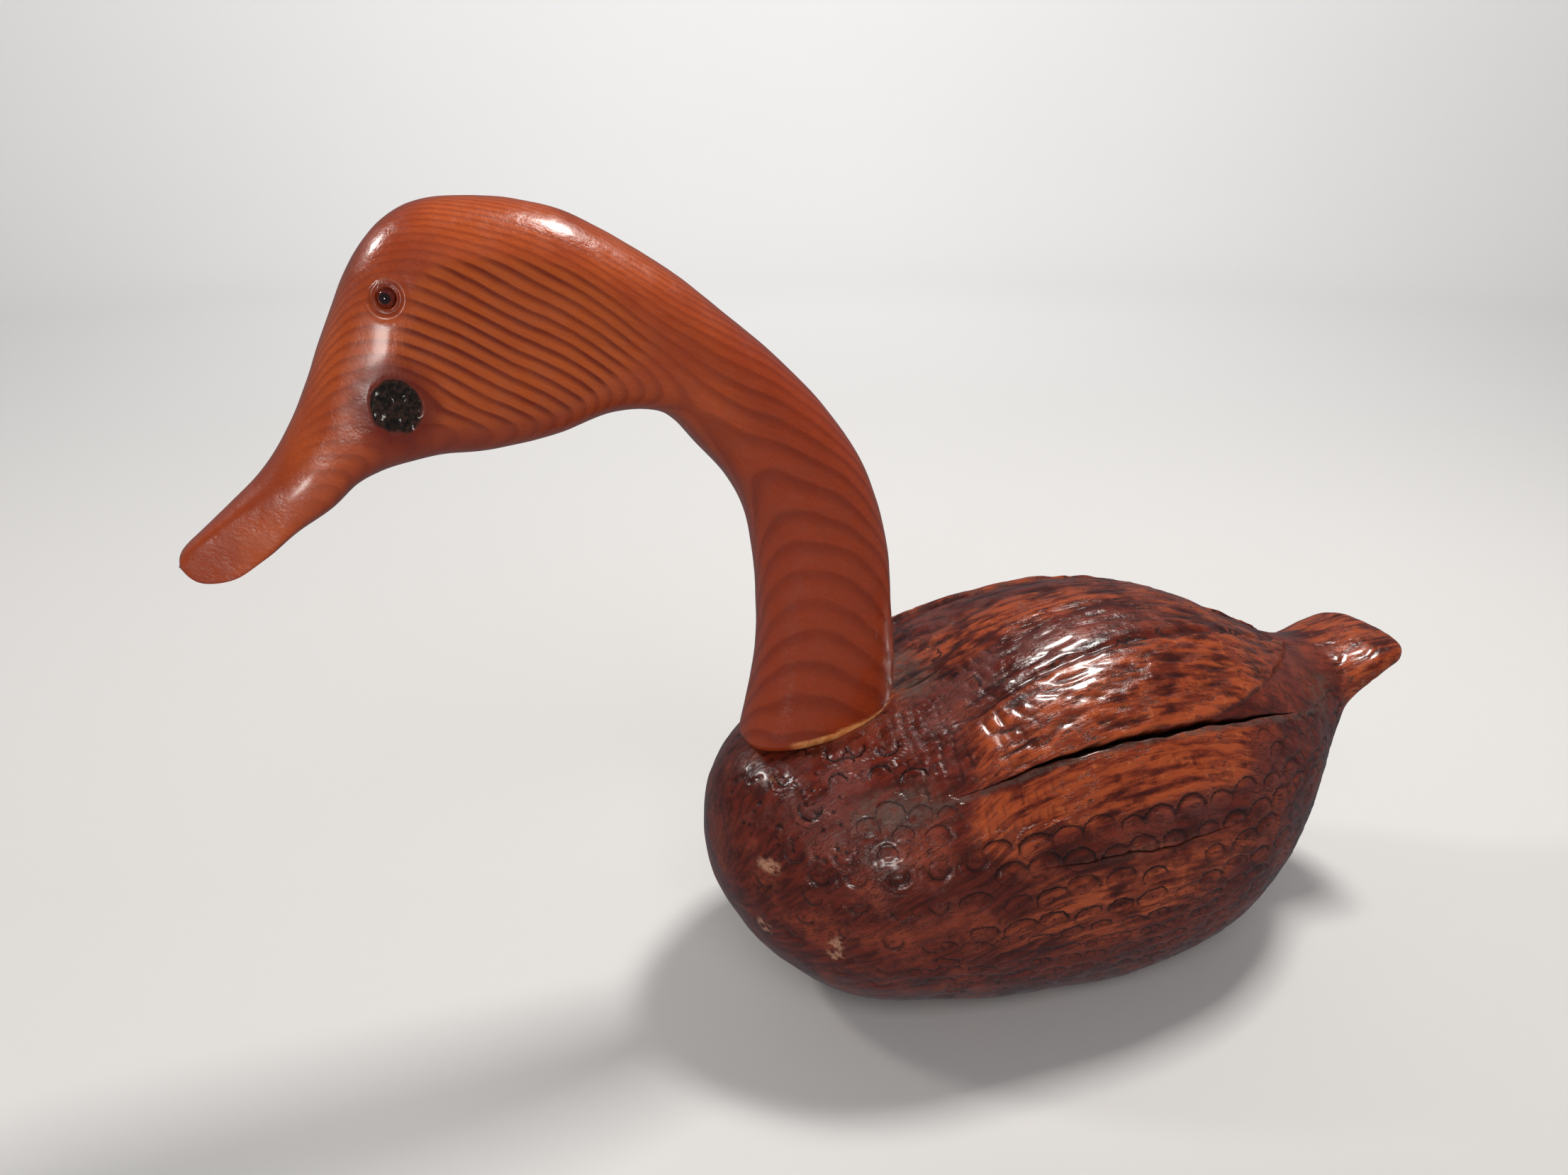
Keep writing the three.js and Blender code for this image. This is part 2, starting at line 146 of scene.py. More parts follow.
def rows_at(table, places):
    """Smooth curve through a table's rows, at places counted in rows."""
    table = np.array(table, float)
    last = len(table) - 1
    index = np.minimum(np.floor(places).astype(int), last - 1)
    part = (places - index)[:, None]
    start = table[index]
    end = table[index + 1]
    before = np.where(index[:, None] > 0, table[index - 1], 2 * start - end)
    after = np.where(index[:, None] + 2 <= last, table[np.minimum(index + 2, last)], 2 * end - start)
    slope = end - before
    bend = 2 * before - 5 * start + 4 * end - after
    twist = 3 * start - before - 3 * end + after
    return 0.5 * (2 * start + part * (slope + part * (bend + part * twist)))


def body_ribs_at(places):
    along, half_width, top, widest, bottom, upper, lower = rows_at(BODY_RIBS, places).T
    height = np.maximum(top - bottom, 1e-6)
    share = np.where(top > bottom, (widest - bottom) / height, 0.5)
    return np.stack([along, top, along, bottom, half_width, share, upper, lower], 1)


def neck_ribs_at(places):
    return rows_at(NECK_RIBS, places)


def outline(ribs, angles):
    """Points on the outlines of ribs, one row of angles for each rib."""
    upper_x, upper_z, lower_x, lower_z, half_width, share, upper, lower = ribs.T[:, :, None]
    up = np.cos(angles * DEGREE)
    side = np.sin(angles * DEGREE)
    power = 2 / np.where(up >= 0, upper, lower)
    height = np.sign(up) * np.abs(up) ** power
    width = np.sign(side) * np.abs(side) ** power
    level = share + height * np.where(height >= 0, 1 - share, share)
    x = lower_x + level * (upper_x - lower_x)
    z = lower_z + level * (upper_z - lower_z)
    return np.stack([x, -half_width * width, z], -1)


def smoothstep(value, low, high):
    part = np.clip((value - low) / (high - low), 0, 1)
    return part * part * (3 - 2 * part)


def bell(distance, width):
    return np.exp(-((distance / width) ** 2))


def random_field(points, size, seed):
    """Smooth random values from about -1 to 1 at points, with features of the given size."""
    scaled = points.reshape(-1, 3) / size + seed * 17.3
    values = [noise.noise(point) for point in scaled.tolist()]
    return np.array(values).reshape(points.shape[:-1]) * 1.6


def even_places(make_points, last, count, weight=None):
    """Places from 0 to last that split a surface into strips of even width, or of a weighted one."""
    fine = np.linspace(0, last, 2000)
    points = make_points(fine)
    steps = np.linalg.norm(np.diff(points, axis=0), axis=-1).max(1)
    if weight is not None:
        steps = steps * weight(points[:-1].mean(1))
    travelled = np.concatenate([[0], np.cumsum(steps)])
    return np.interp(np.linspace(0, travelled[-1], count), travelled, fine)


def normals_of(points):
    """Outward directions on a closed tube of rings that run round by the left side."""
    ahead = np.gradient(points, axis=0)
    around = np.roll(points, -1, 1) - np.roll(points, 1, 1)
    across = np.cross(around, ahead)
    length = np.linalg.norm(across, axis=-1, keepdims=True)
    across = across / np.maximum(length, 1e-9)
    middle = points.mean(1, keepdims=True)
    outward = np.sign(np.sum(across * (points - middle)))
    return across * outward


def skin(name, rings, fields):
    """Closed mesh over rings of points, with a fan at each end, and its fields as attributes."""
    ends = []
    for end in (0, -1):
        ends.append(rings[end].mean(0))
        if np.ptp(rings[end], axis=0).max() < 1e-3:
            inner = slice(1, None) if end == 0 else slice(None, -1)
            rings = rings[inner]
            fields = {key: values[inner] for key, values in fields.items()}
    count, sides = rings.shape[:2]
    points = np.concatenate([rings.reshape(-1, 3), ends]) * MM
    corner = np.arange(count * sides).reshape(count, sides)
    beside = np.roll(corner, -1, 1)
    quads = np.stack([corner[:-1], corner[1:], beside[1:], beside[:-1]], -1).reshape(-1, 4)
    first = count * sides
    fans = [(first, a, b) for a, b in zip(corner[0], beside[0])]
    fans += [(first + 1, b, a) for a, b in zip(corner[-1], beside[-1])]
    mesh = bpy.data.meshes.new(name)
    mesh.from_pydata(points.tolist(), [], quads.tolist() + fans)
    mesh.update()
    turn_outward(mesh)
    for key, values in fields.items():
        parts = values.reshape(first, -1)
        tips = np.stack([values[0].reshape(sides, -1).mean(0), values[-1].reshape(sides, -1).mean(0)])
        kind = "FLOAT_VECTOR" if parts.shape[1] == 3 else "FLOAT"
        attribute = mesh.attributes.new(key, kind, "POINT")
        field = "vector" if parts.shape[1] == 3 else "value"
        attribute.data.foreach_set(field, np.concatenate([parts, tips]).astype(np.float32).ravel())
    mesh.shade_smooth()
    piece = bpy.data.objects.new(name, mesh)
    bpy.context.scene.collection.objects.link(piece)
    return piece


def turn_outward(mesh):
    """Flips a closed mesh whose faces point in."""
    mesh.calc_loop_triangles()
    volume = 0
    for triangle in mesh.loop_triangles:
        a, b, c = (mesh.vertices[corner].co for corner in triangle.vertices)
        volume += a.dot(b.cross(c))
    if volume < 0:
        mesh.flip_normals()


# The body's grid: its columns gather at the two cracks, where five of them make the open wedge.
def edge_angle(edge, along):
    tip_angle, sweep, bend_start = edge
    bend = np.clip((along - bend_start) / (WING_TIP - bend_start), 0, 1)
    return tip_angle + sweep * (1 - bend * bend) ** WING_EDGE_ROUNDNESS


def crack_state(crack, along):
    """A crack's middle angle, and how far it is open from 0 to 1, at places along the body."""
    start, stop, angle_start, angle_stop = crack[:4]
    share = np.clip((along - start) / (stop - start), 0, 1)
    angle = angle_start + (angle_stop - angle_start) * share
    return angle, np.sin(math.pi * share) ** CRACK_TAPER


BODY_ROWS = 306
COLUMNS_ABOVE = 78
COLUMNS_BETWEEN = 44
COLUMNS_BELOW = 84
COLUMNS_RIGHT = 110
RIM_REACH = 3
SHOULDER_PITCH = (3.8, 3.3)


def body_angles(along, half_width):
    """Angles of each rib's columns, and which of them lie in a crack."""
    reach = np.maximum(half_width, 6) * DEGREE
    strips = []
    marks = []
    low = np.zeros_like(along)
    cracks = (WING_CRACK, FLANK_CRACK)
    for number, (crack, columns) in enumerate(zip(cracks, (COLUMNS_ABOVE, COLUMNS_BETWEEN))):
        middle, opened = crack_state(crack, along)
        wobble = 0.35 * np.sin(along * 0.19 + number) + 0.2 * np.sin(along * 0.53)
        middle = middle + wobble * opened
        half = np.maximum(crack[4] * opened / 2 / reach, CLOSED_CRACK)
        share = np.linspace(0, 1, columns)
        strips.append(low[:, None] + (middle - half - low)[:, None] * share)
        marks += [(0, 0)] * columns
        strips.append(middle[:, None] + half[:, None] * np.array([-0.45, 0, 0.45]))
        marks += [(number + 1, 0.7), (number + 1, 1), (number + 1, 0.7)]
        low = middle + half
    share = np.linspace(0, 1, COLUMNS_BELOW) ** 1.3
    strips.append(low[:, None] + (180 - low)[:, None] * share)
    marks += [(0, 0)] * COLUMNS_BELOW
    right = np.linspace(180, 360, COLUMNS_RIGHT + 1)[1:-1]
    strips.append(np.broadcast_to(right, (len(along), len(right))))
    marks += [(0, 0)] * len(right)
    return np.concatenate(strips, 1), marks


def wing_relief(along, turn, half_width):
    """Height of a wing and its edge groove over the plain body."""
    reach = half_width * DEGREE
    below_upper = (turn - edge_angle(WING_UPPER_EDGE, along)) * reach
    above_lower = (edge_angle(WING_LOWER_EDGE, along) - turn) * reach
    front = smoothstep(along, *WING_FRONT)
    rear = smoothstep(WING_TIP + WING_TIP_BORDER / 2 - along, 0, WING_TIP_BORDER)
    inside = smoothstep(below_upper, 0, WING_UPPER_BORDER) * smoothstep(above_lower, 0, WING_LOWER_BORDER)
    groove = WING_GROOVE_DEPTH * bell(below_upper, WING_GROOVE_WIDTH)
    return front * rear * (WING_LIFT * inside - groove), front * rear * inside


class CarvedBody:
    """The body's surface as a grid of points, and the cuts and colours on it."""

    def __init__(self):
        last = len(BODY_RIBS) - 1
        coarse = np.arange(0, 360, 15.0)
        places = even_places(
            lambda fine: outline(body_ribs_at(fine), np.broadcast_to(coarse, (len(fine), len(coarse)))),
            last, BODY_ROWS, lambda middles: 1 + 0.4 * bell(middles[:, 0], 40))
        ribs = body_ribs_at(places)
        self.along = ribs[:, 0]
        self.half_width = ribs[:, 4]
        self.angles, self.marks = body_angles(self.along, self.half_width)
        self.turn = np.minimum(self.angles, 360 - self.angles)
        self.side = np.where(self.angles <= 180, 1, -1)
        plain = outline(ribs, self.angles)
        before = outline(ribs, self.angles - 1)
        after = outline(ribs, self.angles + 1)
        outward = np.stack([0 * plain[..., 0], after[..., 2] - before[..., 2],
                            before[..., 1] - after[..., 1]], -1)
        outward = outward / np.maximum(np.linalg.norm(outward, axis=-1, keepdims=True), 1e-9)
        lift, self.wing = wing_relief(self.along[:, None], self.turn, self.half_width[:, None])
        lift = np.where(self.turn < 90, lift, 0)
        self.wing = np.where(self.turn < 90, self.wing, 0)
        reach = np.maximum(self.half_width, 6)[:, None] * DEGREE
        to_edge = (self.turn - edge_angle(WING_UPPER_EDGE, self.along)[:, None]) * reach
        outside = 1 - smoothstep(self.along, 4, 26) * smoothstep(-self.along, -172, -164)
        self.wing_line = np.clip(to_edge, -8, 8) + 16 * outside[:, None]
        self.points = plain + outward * lift[..., None]
        self.plain = self.points.copy()
        self.outward = normals_of(self.points)
        steps = np.linalg.norm(self.points - np.roll(self.points, 1, 1), axis=-1)
        steps[:, 0] = 0
        self.down = np.cumsum(steps, 1)
        half_round = self.down[:, -1:] + np.linalg.norm(self.points[:, -1:] - self.points[:, :1], axis=-1)
        self.down = np.minimum(self.down, half_round - self.down)
        shape = self.turn.shape
        self.height = np.zeros(shape)
        # Painted shade: how dark each point of a cut is painted.
        self.cut_shade = np.zeros(shape)
        self.rim = np.full(shape, float(RIM_REACH))
        # Strength of the thin painted shade line along the nearest cut's rim.
        self.rim_shade_strength = np.zeros(shape)
        flat = self.points.reshape(-1, 3)
        self.tree = kdtree.KDTree(len(flat))
        for index, point in enumerate(flat.tolist()):
            self.tree.insert(point, index)
        self.tree.balance()

    def spot(self, along, angle, side=1):
        """Point on the surface with the directions ahead, to the tail, and down, from the top."""
        row = int(np.clip(np.searchsorted(self.along, along), 2, len(self.along) - 3))
        turned = angle if side > 0 else 360 - angle
        column = int(np.argmin(np.abs(self.angles[row] - turned)))
        sides = self.angles.shape[1]
        ahead = self.points[row + 2, column] - self.points[row - 2, column]
        down = self.points[row, (column + 3) % sides] - self.points[row, column - 3]
        ahead = ahead / np.linalg.norm(ahead)
        down = down - ahead * down.dot(ahead)
        down = down / np.linalg.norm(down) * side
        return self.points[row, column], ahead, down

    def near(self, along, angle, side, reach, turn):
        """Grid points near a spot, with how far ahead and down of it each lies."""
        centre, ahead, down = self.spot(along, angle, side)
        turned_ahead = ahead * math.cos(turn * DEGREE) + down * math.sin(turn * DEGREE)
        turned_down = down * math.cos(turn * DEGREE) - ahead * math.sin(turn * DEGREE)
        found = np.array([index for _, index, _ in self.tree.find_range(centre, reach)], int)
        offset = self.points.reshape(-1, 3)[found] - centre
        return found, offset @ turned_ahead, offset @ turned_down

    def lower(self, found, depth, cut_shade=0):
        """Cuts the surface down to a depth, and paints shade into the cut."""
        height = self.height.reshape(-1)
        stain = self.cut_shade.reshape(-1)
        height[found] = np.minimum(height[found], -depth)
        stain[found] = np.maximum(stain[found], cut_shade)

    def draw_rim(self, found, beyond, cut_shade):
        """Keeps the distance to the nearest cut's rim, negative inside, for a thin line of painted shade along the
        cut's steep wall.
        """
        rim = self.rim.reshape(-1)
        rim_shade_strength = self.rim_shade_strength.reshape(-1)
        nearer = beyond < rim[found]
        rim[found[nearer]] = np.maximum(beyond[nearer], -RIM_REACH)
        rim_shade_strength[found[nearer]] = cut_shade[nearer]

    def cup(self, along, angle, side, half_size, depth, opens="top", turn=0, cut_shade=0.8, fade=3.2, closed=0.25):
        """Cut of a curved gouge: a steep arc, and a floor that rises from it to the open side."""
        half_width, half_height = half_size
        found, ahead, down = self.near(along, angle, side, max(half_size) + 2.5, turn)
        ratio = np.hypot(ahead / half_width, down / half_height)
        slope = np.hypot(ahead / half_width ** 2, down / half_height ** 2)
        beyond = (ratio - 1) * ratio / np.maximum(slope, 1e-6)
        below = down / half_height if opens == "top" else -down / half_height
        arc = closed + (1 - closed) * smoothstep(below, -0.4, 0.35)
        floor = np.clip(1 + beyond / fade, 0, 1) ** 1.4
        wall = smoothstep(-beyond, -1.1, 0.1)
        self.lower(found, depth * arc * np.minimum(floor, wall))
        # A thin line of painted shade along the steep arc.
        self.draw_rim(found, beyond, cut_shade * arc)

    def stroke(self, along, angle, side, length, width, depth, turn=0, cut_shade=0.5):
        """Long shallow gouge cut that tapers to both ends."""
        found, ahead, down = self.near(along, angle, side, length / 2 + 1, turn)
        taper = np.clip(1 - (2 * ahead / length) ** 2, 0, 1)
        bowed = down + 0.06 * length * (2 * ahead / length) ** 2
        cut = taper * bell(bowed, width / 2)
        # Painted shade along the middle of the stroke's groove.
        self.lower(found, depth * cut, cut_shade * taper * bell(bowed, width / 2.8))


def carve_named_cuts(body):
    """Large cuts below the neck on the left side, which stand out singly."""
    for along, angle, half_width, half_height, opens, turn, depth in (
        (-34, 17.5, 3.6, 5.6, "top", 14, 1.2),
        (-27, 18.5, 2.8, 4.6, "top", 10, 1.0),
        (-18.5, 22, 3.8, 4.4, "top", -6, 1.2),
        (-44.5, 16.5, 2.2, 3.2, "bottom", 20, 0.8),
        (-25, 33.5, 3.8, 4.0, "bottom", 0, 0.9),
        (-15.5, 38, 4.6, 3.8, "bottom", 5, 1.0),
        (-48, 44, 4.2, 4.4, "top", 8, 1.0),
        (-38, 34, 3.2, 4.0, "bottom", -15, 0.7),
        (-33, 25, 2.2, 2.4, "bottom", 10, 0.6),
        (-53, 28, 2.4, 3.0, "top", 10, 0.6),
    ):
        body.cup(along, angle, 1, (half_width, half_height), depth, opens, turn, cut_shade=1.0, fade=2.2, closed=0)
    for along, angle, radius, turn in (
        (-26, 50, 4.4, 10), (-17.5, 54, 3.8, -20), (-33.5, 55, 3.6, 30), (-24, 60, 3.2, 0), (-14, 63, 3.6, 20),
        (-29, 66, 3.0, 0), (-10, 56, 3.0, 0),
    ):
        body.cup(along, angle, 1, (radius * 1.15, radius * 0.95), 0.5, "bottom", turn, cut_shade=0.55, closed=0.6)


def carve_breast(body, picks):
    """Staggered rows of crescents, open to the top, on the breast of both sides."""
    pitch = 11.8
    for number, (angle, start, stop, depth) in enumerate((
        (66, -54, -38, 0.7), (75.5, -56, -2, 1.1), (87, -62, -8, 1.1), (97.5, -58, -12, 0.9),
        (109, -54, -22, 0.6), (120, -46, -20, 0.5),
    )):
        for side in (1, -1):
            along = start + (number % 2) * pitch / 2
            while along < stop:
                shift = picks.uniform(-0.9, 0.9)
                strength = depth * picks.uniform(0.6, 1.2)
                tilt = picks.uniform(-10, 10)
                body.cup(along + shift, angle + shift, side, (3.6, 3.7), strength, "top", tilt,
                         cut_shade=picks.uniform(0.3, 0.6), fade=2.2, closed=0.2)
                along += pitch
    for side in (1, -1):
        for _ in range(46):
            found, ahead, down = body.near(picks.uniform(-67, -38), picks.uniform(14, 72), side, 2, 0)
            dot = bell(np.hypot(ahead, down), 0.95)
            # Small dents, each with painted shade.
            body.lower(found, 0.5 * dot, 0.9 * dot)
        for _ in range(120):
            body.stroke(picks.uniform(-68, 0), picks.uniform(20, 140), side, picks.uniform(5, 12), 1.9,
                        picks.uniform(0.1, 0.32), picks.uniform(60, 120), cut_shade=picks.uniform(0, 0.4))


def carve_flank(body, picks):
    """Rows of lens-shaped scales with a steep upper edge, which flatten towards the ground."""
    rows = (
        (74.5, 4, 134, 12.6, 5.6, 4.0, 1.1),
        (81.5, 2, 138, 12.8, 5.8, 4.2, 1.15),
        (88.5, -2, 140, 13.2, 6.0, 4.0, 1.15),
        (95, -6, 136, 12.8, 5.8, 3.2, 1.0),
        (100.5, -12, 132, 11.6, 5.2, 2.5, 0.85),
        (105.5, -16, 128, 11.0, 5.0, 2.2, 0.8),
        (110.5, -18, 124, 10.8, 4.8, 2.0, 0.75),
        (115.5, -16, 118, 10.6, 4.8, 1.9, 0.7),
        (120.5, -12, 112, 10.8, 4.6, 1.9, 0.65),
        (126.5, -8, 106, 11.2, 4.6, 1.9, 0.6),
        (133, -2, 96, 12.0, 4.6, 1.9, 0.5),
    )
    for number, (angle, start, stop, pitch, half_width, half_height, depth) in enumerate(rows):
        for side in (1, -1):
            along = start + (number % 2) * pitch / 2
            while along < stop:
                shift = picks.uniform(-1.3, 1.3)
                size = picks.uniform(0.8, 1.12)
                strength = depth * picks.uniform(0.5, 1.15)
                tilt = picks.uniform(-9, 9)
                if picks.random() < 0.92:
                    body.cup(along + shift, angle + 0.7 * shift, side, (half_width * size, half_height * size),
                             strength, "bottom", tilt, cut_shade=picks.uniform(0.45, 1), fade=2.8, closed=0.3)
                along += pitch
        for _ in range(16):
            body.stroke(picks.uniform(0, 135), angle + picks.uniform(-3, 3), picks.choice((1, -1)),
                        picks.uniform(5, 13), 1.8, picks.uniform(0.2, 0.5), picks.uniform(-12, 12), cut_shade=0.4)


def carve_stern(body, picks):
    """Small scales on the rear flank and under the tail."""
    for number, angle in enumerate(range(60, 132, 6)):
        for side in (1, -1):
            along = 124 + (number % 2) * 4.5 - 0.25 * abs(angle - 90)
            while along < 184:
                strength = picks.uniform(0.3, 0.8)
                tilt = picks.uniform(-30, 30)
                if picks.random() < 0.85:
                    body.cup(along + picks.uniform(-1, 1), angle + picks.uniform(-1, 1), side, (3.9, 2.8), strength,
                             "bottom", tilt, cut_shade=picks.uniform(0.2, 0.6), fade=2.2, closed=0.3)
                along += 8.5


def carve_wings(body, picks):
    """Feather strokes on the wings and the back, and upright cuts on the wings' front border."""
    for side in (1, -1):
        for _ in range(190):
            along = picks.uniform(14, 168)
            low = edge_angle(WING_UPPER_EDGE, along) - 1
            high = edge_angle(WING_LOWER_EDGE, along) - 1
            if high <= low:
                continue
            angle = picks.uniform(low, high)
            slope = -14 * smoothstep(along, 90, 165) * (angle - low) / (high - low)
            body.stroke(along, angle, side, picks.uniform(6, 22), picks.uniform(1.6, 3.2),
                        picks.uniform(0.3, 0.9), slope + picks.uniform(-16, 16), cut_shade=picks.uniform(0.1, 0.8))
        for _ in range(110):
            along = picks.uniform(2, 168)
            angle = picks.uniform(0, max(edge_angle(WING_UPPER_EDGE, along) + 2, 2))
            body.stroke(along, angle, side, picks.uniform(8, 26), picks.uniform(1.6, 3.0),
                        picks.uniform(0.3, 0.8), picks.uniform(-7, 7), cut_shade=picks.uniform(0.2, 0.9))
        for column, depth in ((12, 1.1), (16.5, 1.0), (21, 0.8), (26, 0.6)):
            for angle in range(8, 50, 6):
                along = column + 0.008 * (angle - 34) ** 2 + picks.uniform(-1, 1)
                body.stroke(along, angle, side, picks.uniform(7, 11), 2.5, depth * picks.uniform(0.5, 1),
                            90 + picks.uniform(-16, 16), cut_shade=picks.uniform(0.1, 0.5))
        for along in range(2, 30, 3):
            for angle in (60, 67):
                body.stroke(along + picks.uniform(-0.6, 0.6), angle + picks.uniform(-1, 1), side, 7.5, 2.0, 0.55,
                            90 + picks.uniform(-8, 8), cut_shade=0.3)
        for _ in range(60):
            along = picks.uniform(186, 222)
            angle = picks.choice((picks.uniform(2, 60), picks.uniform(110, 170)))
            body.stroke(along, angle, side, picks.uniform(5, 12), 1.8, picks.uniform(0.15, 0.4),
                        picks.uniform(-35, 35), cut_shade=0.4)


def carve_shoulder(body):
    """Small pillows in close columns between the neck and the wings' front borders."""
    along = body.along[:, None] + 0.1 * body.down + 1.3 * random_field(body.plain, 9, 21)
    down = body.down + 1.1 * random_field(body.plain, 8, 22)
    column = along / SHOULDER_PITCH[0]
    row = down / SHOULDER_PITCH[1] + 0.5 * np.floor(column)
    inside = smoothstep(along, -22, -14) * smoothstep(-along, -15, -8)
    inside = inside * smoothstep(body.turn, 3, 8) * smoothstep(-body.turn, -56, -46)
    groove = np.maximum(np.cos(math.pi * column) ** 4, 0.8 * np.cos(math.pi * row) ** 4) * inside
    groove = groove * (0.65 + 0.35 * random_field(body.plain, 6, 23))
    body.height = np.minimum(body.height, -0.7 * groove)
    # Painted shade in the grooves between the pillows.
    body.cut_shade = np.maximum(body.cut_shade, 0.75 * groove)


def patch(body, along, angle, reach_along, reach_angle, strength, side=0):
    """Soft round patch of colour. On side 0 it is on both sides."""
    spread = ((body.along[:, None] - along) / reach_along) ** 2 + ((body.turn - angle) / reach_angle) ** 2
    there = strength * np.exp(-spread * 0.7)
    return there if side == 0 else np.where(body.side == side, there, 0)


def greatest(*fields):
    return np.maximum.reduce(fields)


def body_colours(body):
    """Fields for the body's stain: each says how much of a colour lies at a point."""
    along = body.along[:, None] + 0 * body.turn
    tail = smoothstep(along, 180, 196)
    orange = greatest(
        0.72 * body.wing,
        0.85 * smoothstep(body.turn, 52, 57) * smoothstep(-body.turn, -76, -68)
        * smoothstep(along, -6, 6) * smoothstep(-along, -122, -95),
        patch(body, 10, 66, 10, 10, 0.9),
        patch(body, 62, 92, 42, 9, 0.62),
        patch(body, 30, 100, 30, 8, 0.4),
        patch(body, 55, 2, 60, 6, 0.7),
        patch(body, 125, 10, 40, 12, 0.55),
        0.6 * tail,
    )
    orange = orange * (1 - patch(body, 20, 24, 18, 9, 0.5)) * (1 - patch(body, 70, 36, 30, 5, 0.35))
    purple = greatest(
        patch(body, -40, 38, 26, 26, 0.85),
        patch(body, 25, 12, 34, 10, 0.9),
        patch(body, -5, 24, 14, 18, 0.75),
        patch(body, 88, 76, 34, 6, 0.75),
        patch(body, 120, 70, 24, 10, 0.6),
        patch(body, 165, 70, 22, 40, 0.6),
        patch(body, -20, 84, 16, 9, 0.45),
        patch(body, 95, 14, 40, 5, 0.6),
    )
    middle, opened = crack_state(WING_CRACK, along)
    below_crack = (body.turn - middle) * np.maximum(body.half_width, 10)[:, None] * DEGREE
    lip = bell(below_crack - 1.6, 2.2) * smoothstep(along, -30, -10) * smoothstep(-along, -190, -165)
    grey = greatest(
        patch(body, -24, 50, 15, 9, 0.95, 1),
        patch(body, -24, 50, 13, 7, 0.5, -1),
        0.75 * np.where(body.side > 0, lip, 0),
        patch(body, 168, 48, 16, 14, 0.7),
        patch(body, 60, 82, 34, 2.4, 0.5, 1),
        patch(body, 2, 2, 9, 6, 0.9),
    )
    worn = greatest(
        smoothstep(along, 219, 225),
        patch(body, -61, 76, 3, 5, 0.8, 1),
        patch(body, -61, 122, 2, 6, 0.8, 1),
        patch(body, -43, 108, 2.4, 7, 0.9, 1),
        patch(body, -55, 27, 4, 5, 0.5, 1),
        patch(body, -60, 60, 2, 10, 0.5, -1),
        patch(body, 196, 84, 10, 12, 0.45),
    )
    return orange, purple, grey, worn


def make_body():
    body = CarvedBody()
    picks = random.Random(11)
    carve_shoulder(body)
    carve_breast(body, picks)
    carve_flank(body, picks)
    carve_stern(body, picks)
    carve_wings(body, picks)
    carve_named_cuts(body)
    orange, purple, grey, worn = body_colours(body)
    rough = random_field(body.plain, 7, 1) * 0.16 + random_field(body.plain, 26, 2) * 0.4
    flat_ends = smoothstep(body.half_width, 4, 14)[:, None]
    points = body.plain + body.outward * ((body.height + rough) * flat_ends)[..., None]
    hidden = np.zeros(body.turn.shape)
    for number, crack in enumerate((WING_CRACK, FLANK_CRACK)):
        _, opened = crack_state(crack, body.along)
        for column, (mark, share) in enumerate(body.marks):
            if mark == number + 1:
                inward = points[:, column] - np.array([0, 0, PITH_HEIGHT])
                inward[:, 0] = 0
                inward = inward / np.maximum(np.linalg.norm(inward, axis=-1, keepdims=True), 1e-6)
                depth = crack[5] * share * opened
                points[:, column] -= inward * depth[:, None]
                # How deep a point lies in the crack; the material paints it near-black as painted shade.
                hidden[:, column] = smoothstep(depth, 0, 1.2)
    points = sink_seat(points)
    points[..., 2] = np.maximum(points[..., 2], 0)
    ring_distance = np.hypot(body.plain[..., 1], body.plain[..., 2] - PITH_HEIGHT)
    flow = np.stack([body.along[:, None] + 0 * body.turn, body.down * body.side, ring_distance], -1)
    # The fields of the cuts, their depths, their rims, the wing's upper edge and the crack's inside carry painted
    # shade.
    return skin("carved_body", points, {
        "cut_shade": body.cut_shade, "orange": orange, "purple": purple, "grey": grey, "worn": worn,
        "inside_crack": hidden, "flow": flow * MM, "wing": body.wing,
        "height": body.height, "rim": body.rim, "rim_shade_strength": body.rim_shade_strength,
        "wing_line": body.wing_line,
    })


def sink_seat(points):
    """Lowers the body under the middle of the neck's foot, so that the foot stands in a seat."""
    seat = neck_ribs_at(np.array([0.0]))[0]
    middle = (seat[0] + seat[2]) / 2
    reach = (seat[0] - seat[2]) / 2 - 1.2
    squareness = seat[6]
    across = np.abs((points[..., 0] - middle) / reach) ** squareness
    across = across + np.abs(points[..., 1] / (seat[4] - 1.2)) ** squareness
    under = (across < 1) & (points[..., 2] > PITH_HEIGHT)
    floor = seat[3] + (points[..., 0] - seat[2]) * (seat[1] - seat[3]) / (seat[0] - seat[2]) - SEAT_DEPTH - 0.3
    lowered = points.copy()
    lowered[..., 2] = np.where(under, np.minimum(points[..., 2], floor), points[..., 2])
    return lowered


# Head, neck and bill
HEAD_ROWS = 430
HEAD_COLUMNS = 220


def cut_facet(points, facet):
    """Cuts a flat facet on both sides of the head, with a softly rounded border."""
    origin = np.array(facet[0], float)
    direction = np.array(facet[1]) / np.linalg.norm(facet[1])
    mirror = np.where(points[..., 1] > 0, -1, 1)
    left = points.copy()
    left[..., 1] = points[..., 1] * mirror
    beyond = (left - origin) @ direction
    kept = -FACET_SOFTNESS * np.logaddexp(0, -beyond / FACET_SOFTNESS)
    left = left + direction * (kept - beyond)[..., None]
    left[..., 1] = np.minimum(left[..., 1], 0) * mirror
    on_middle_line = np.abs(points[..., 1:2]) < 1e-6
    return np.where(on_middle_line, points, left)


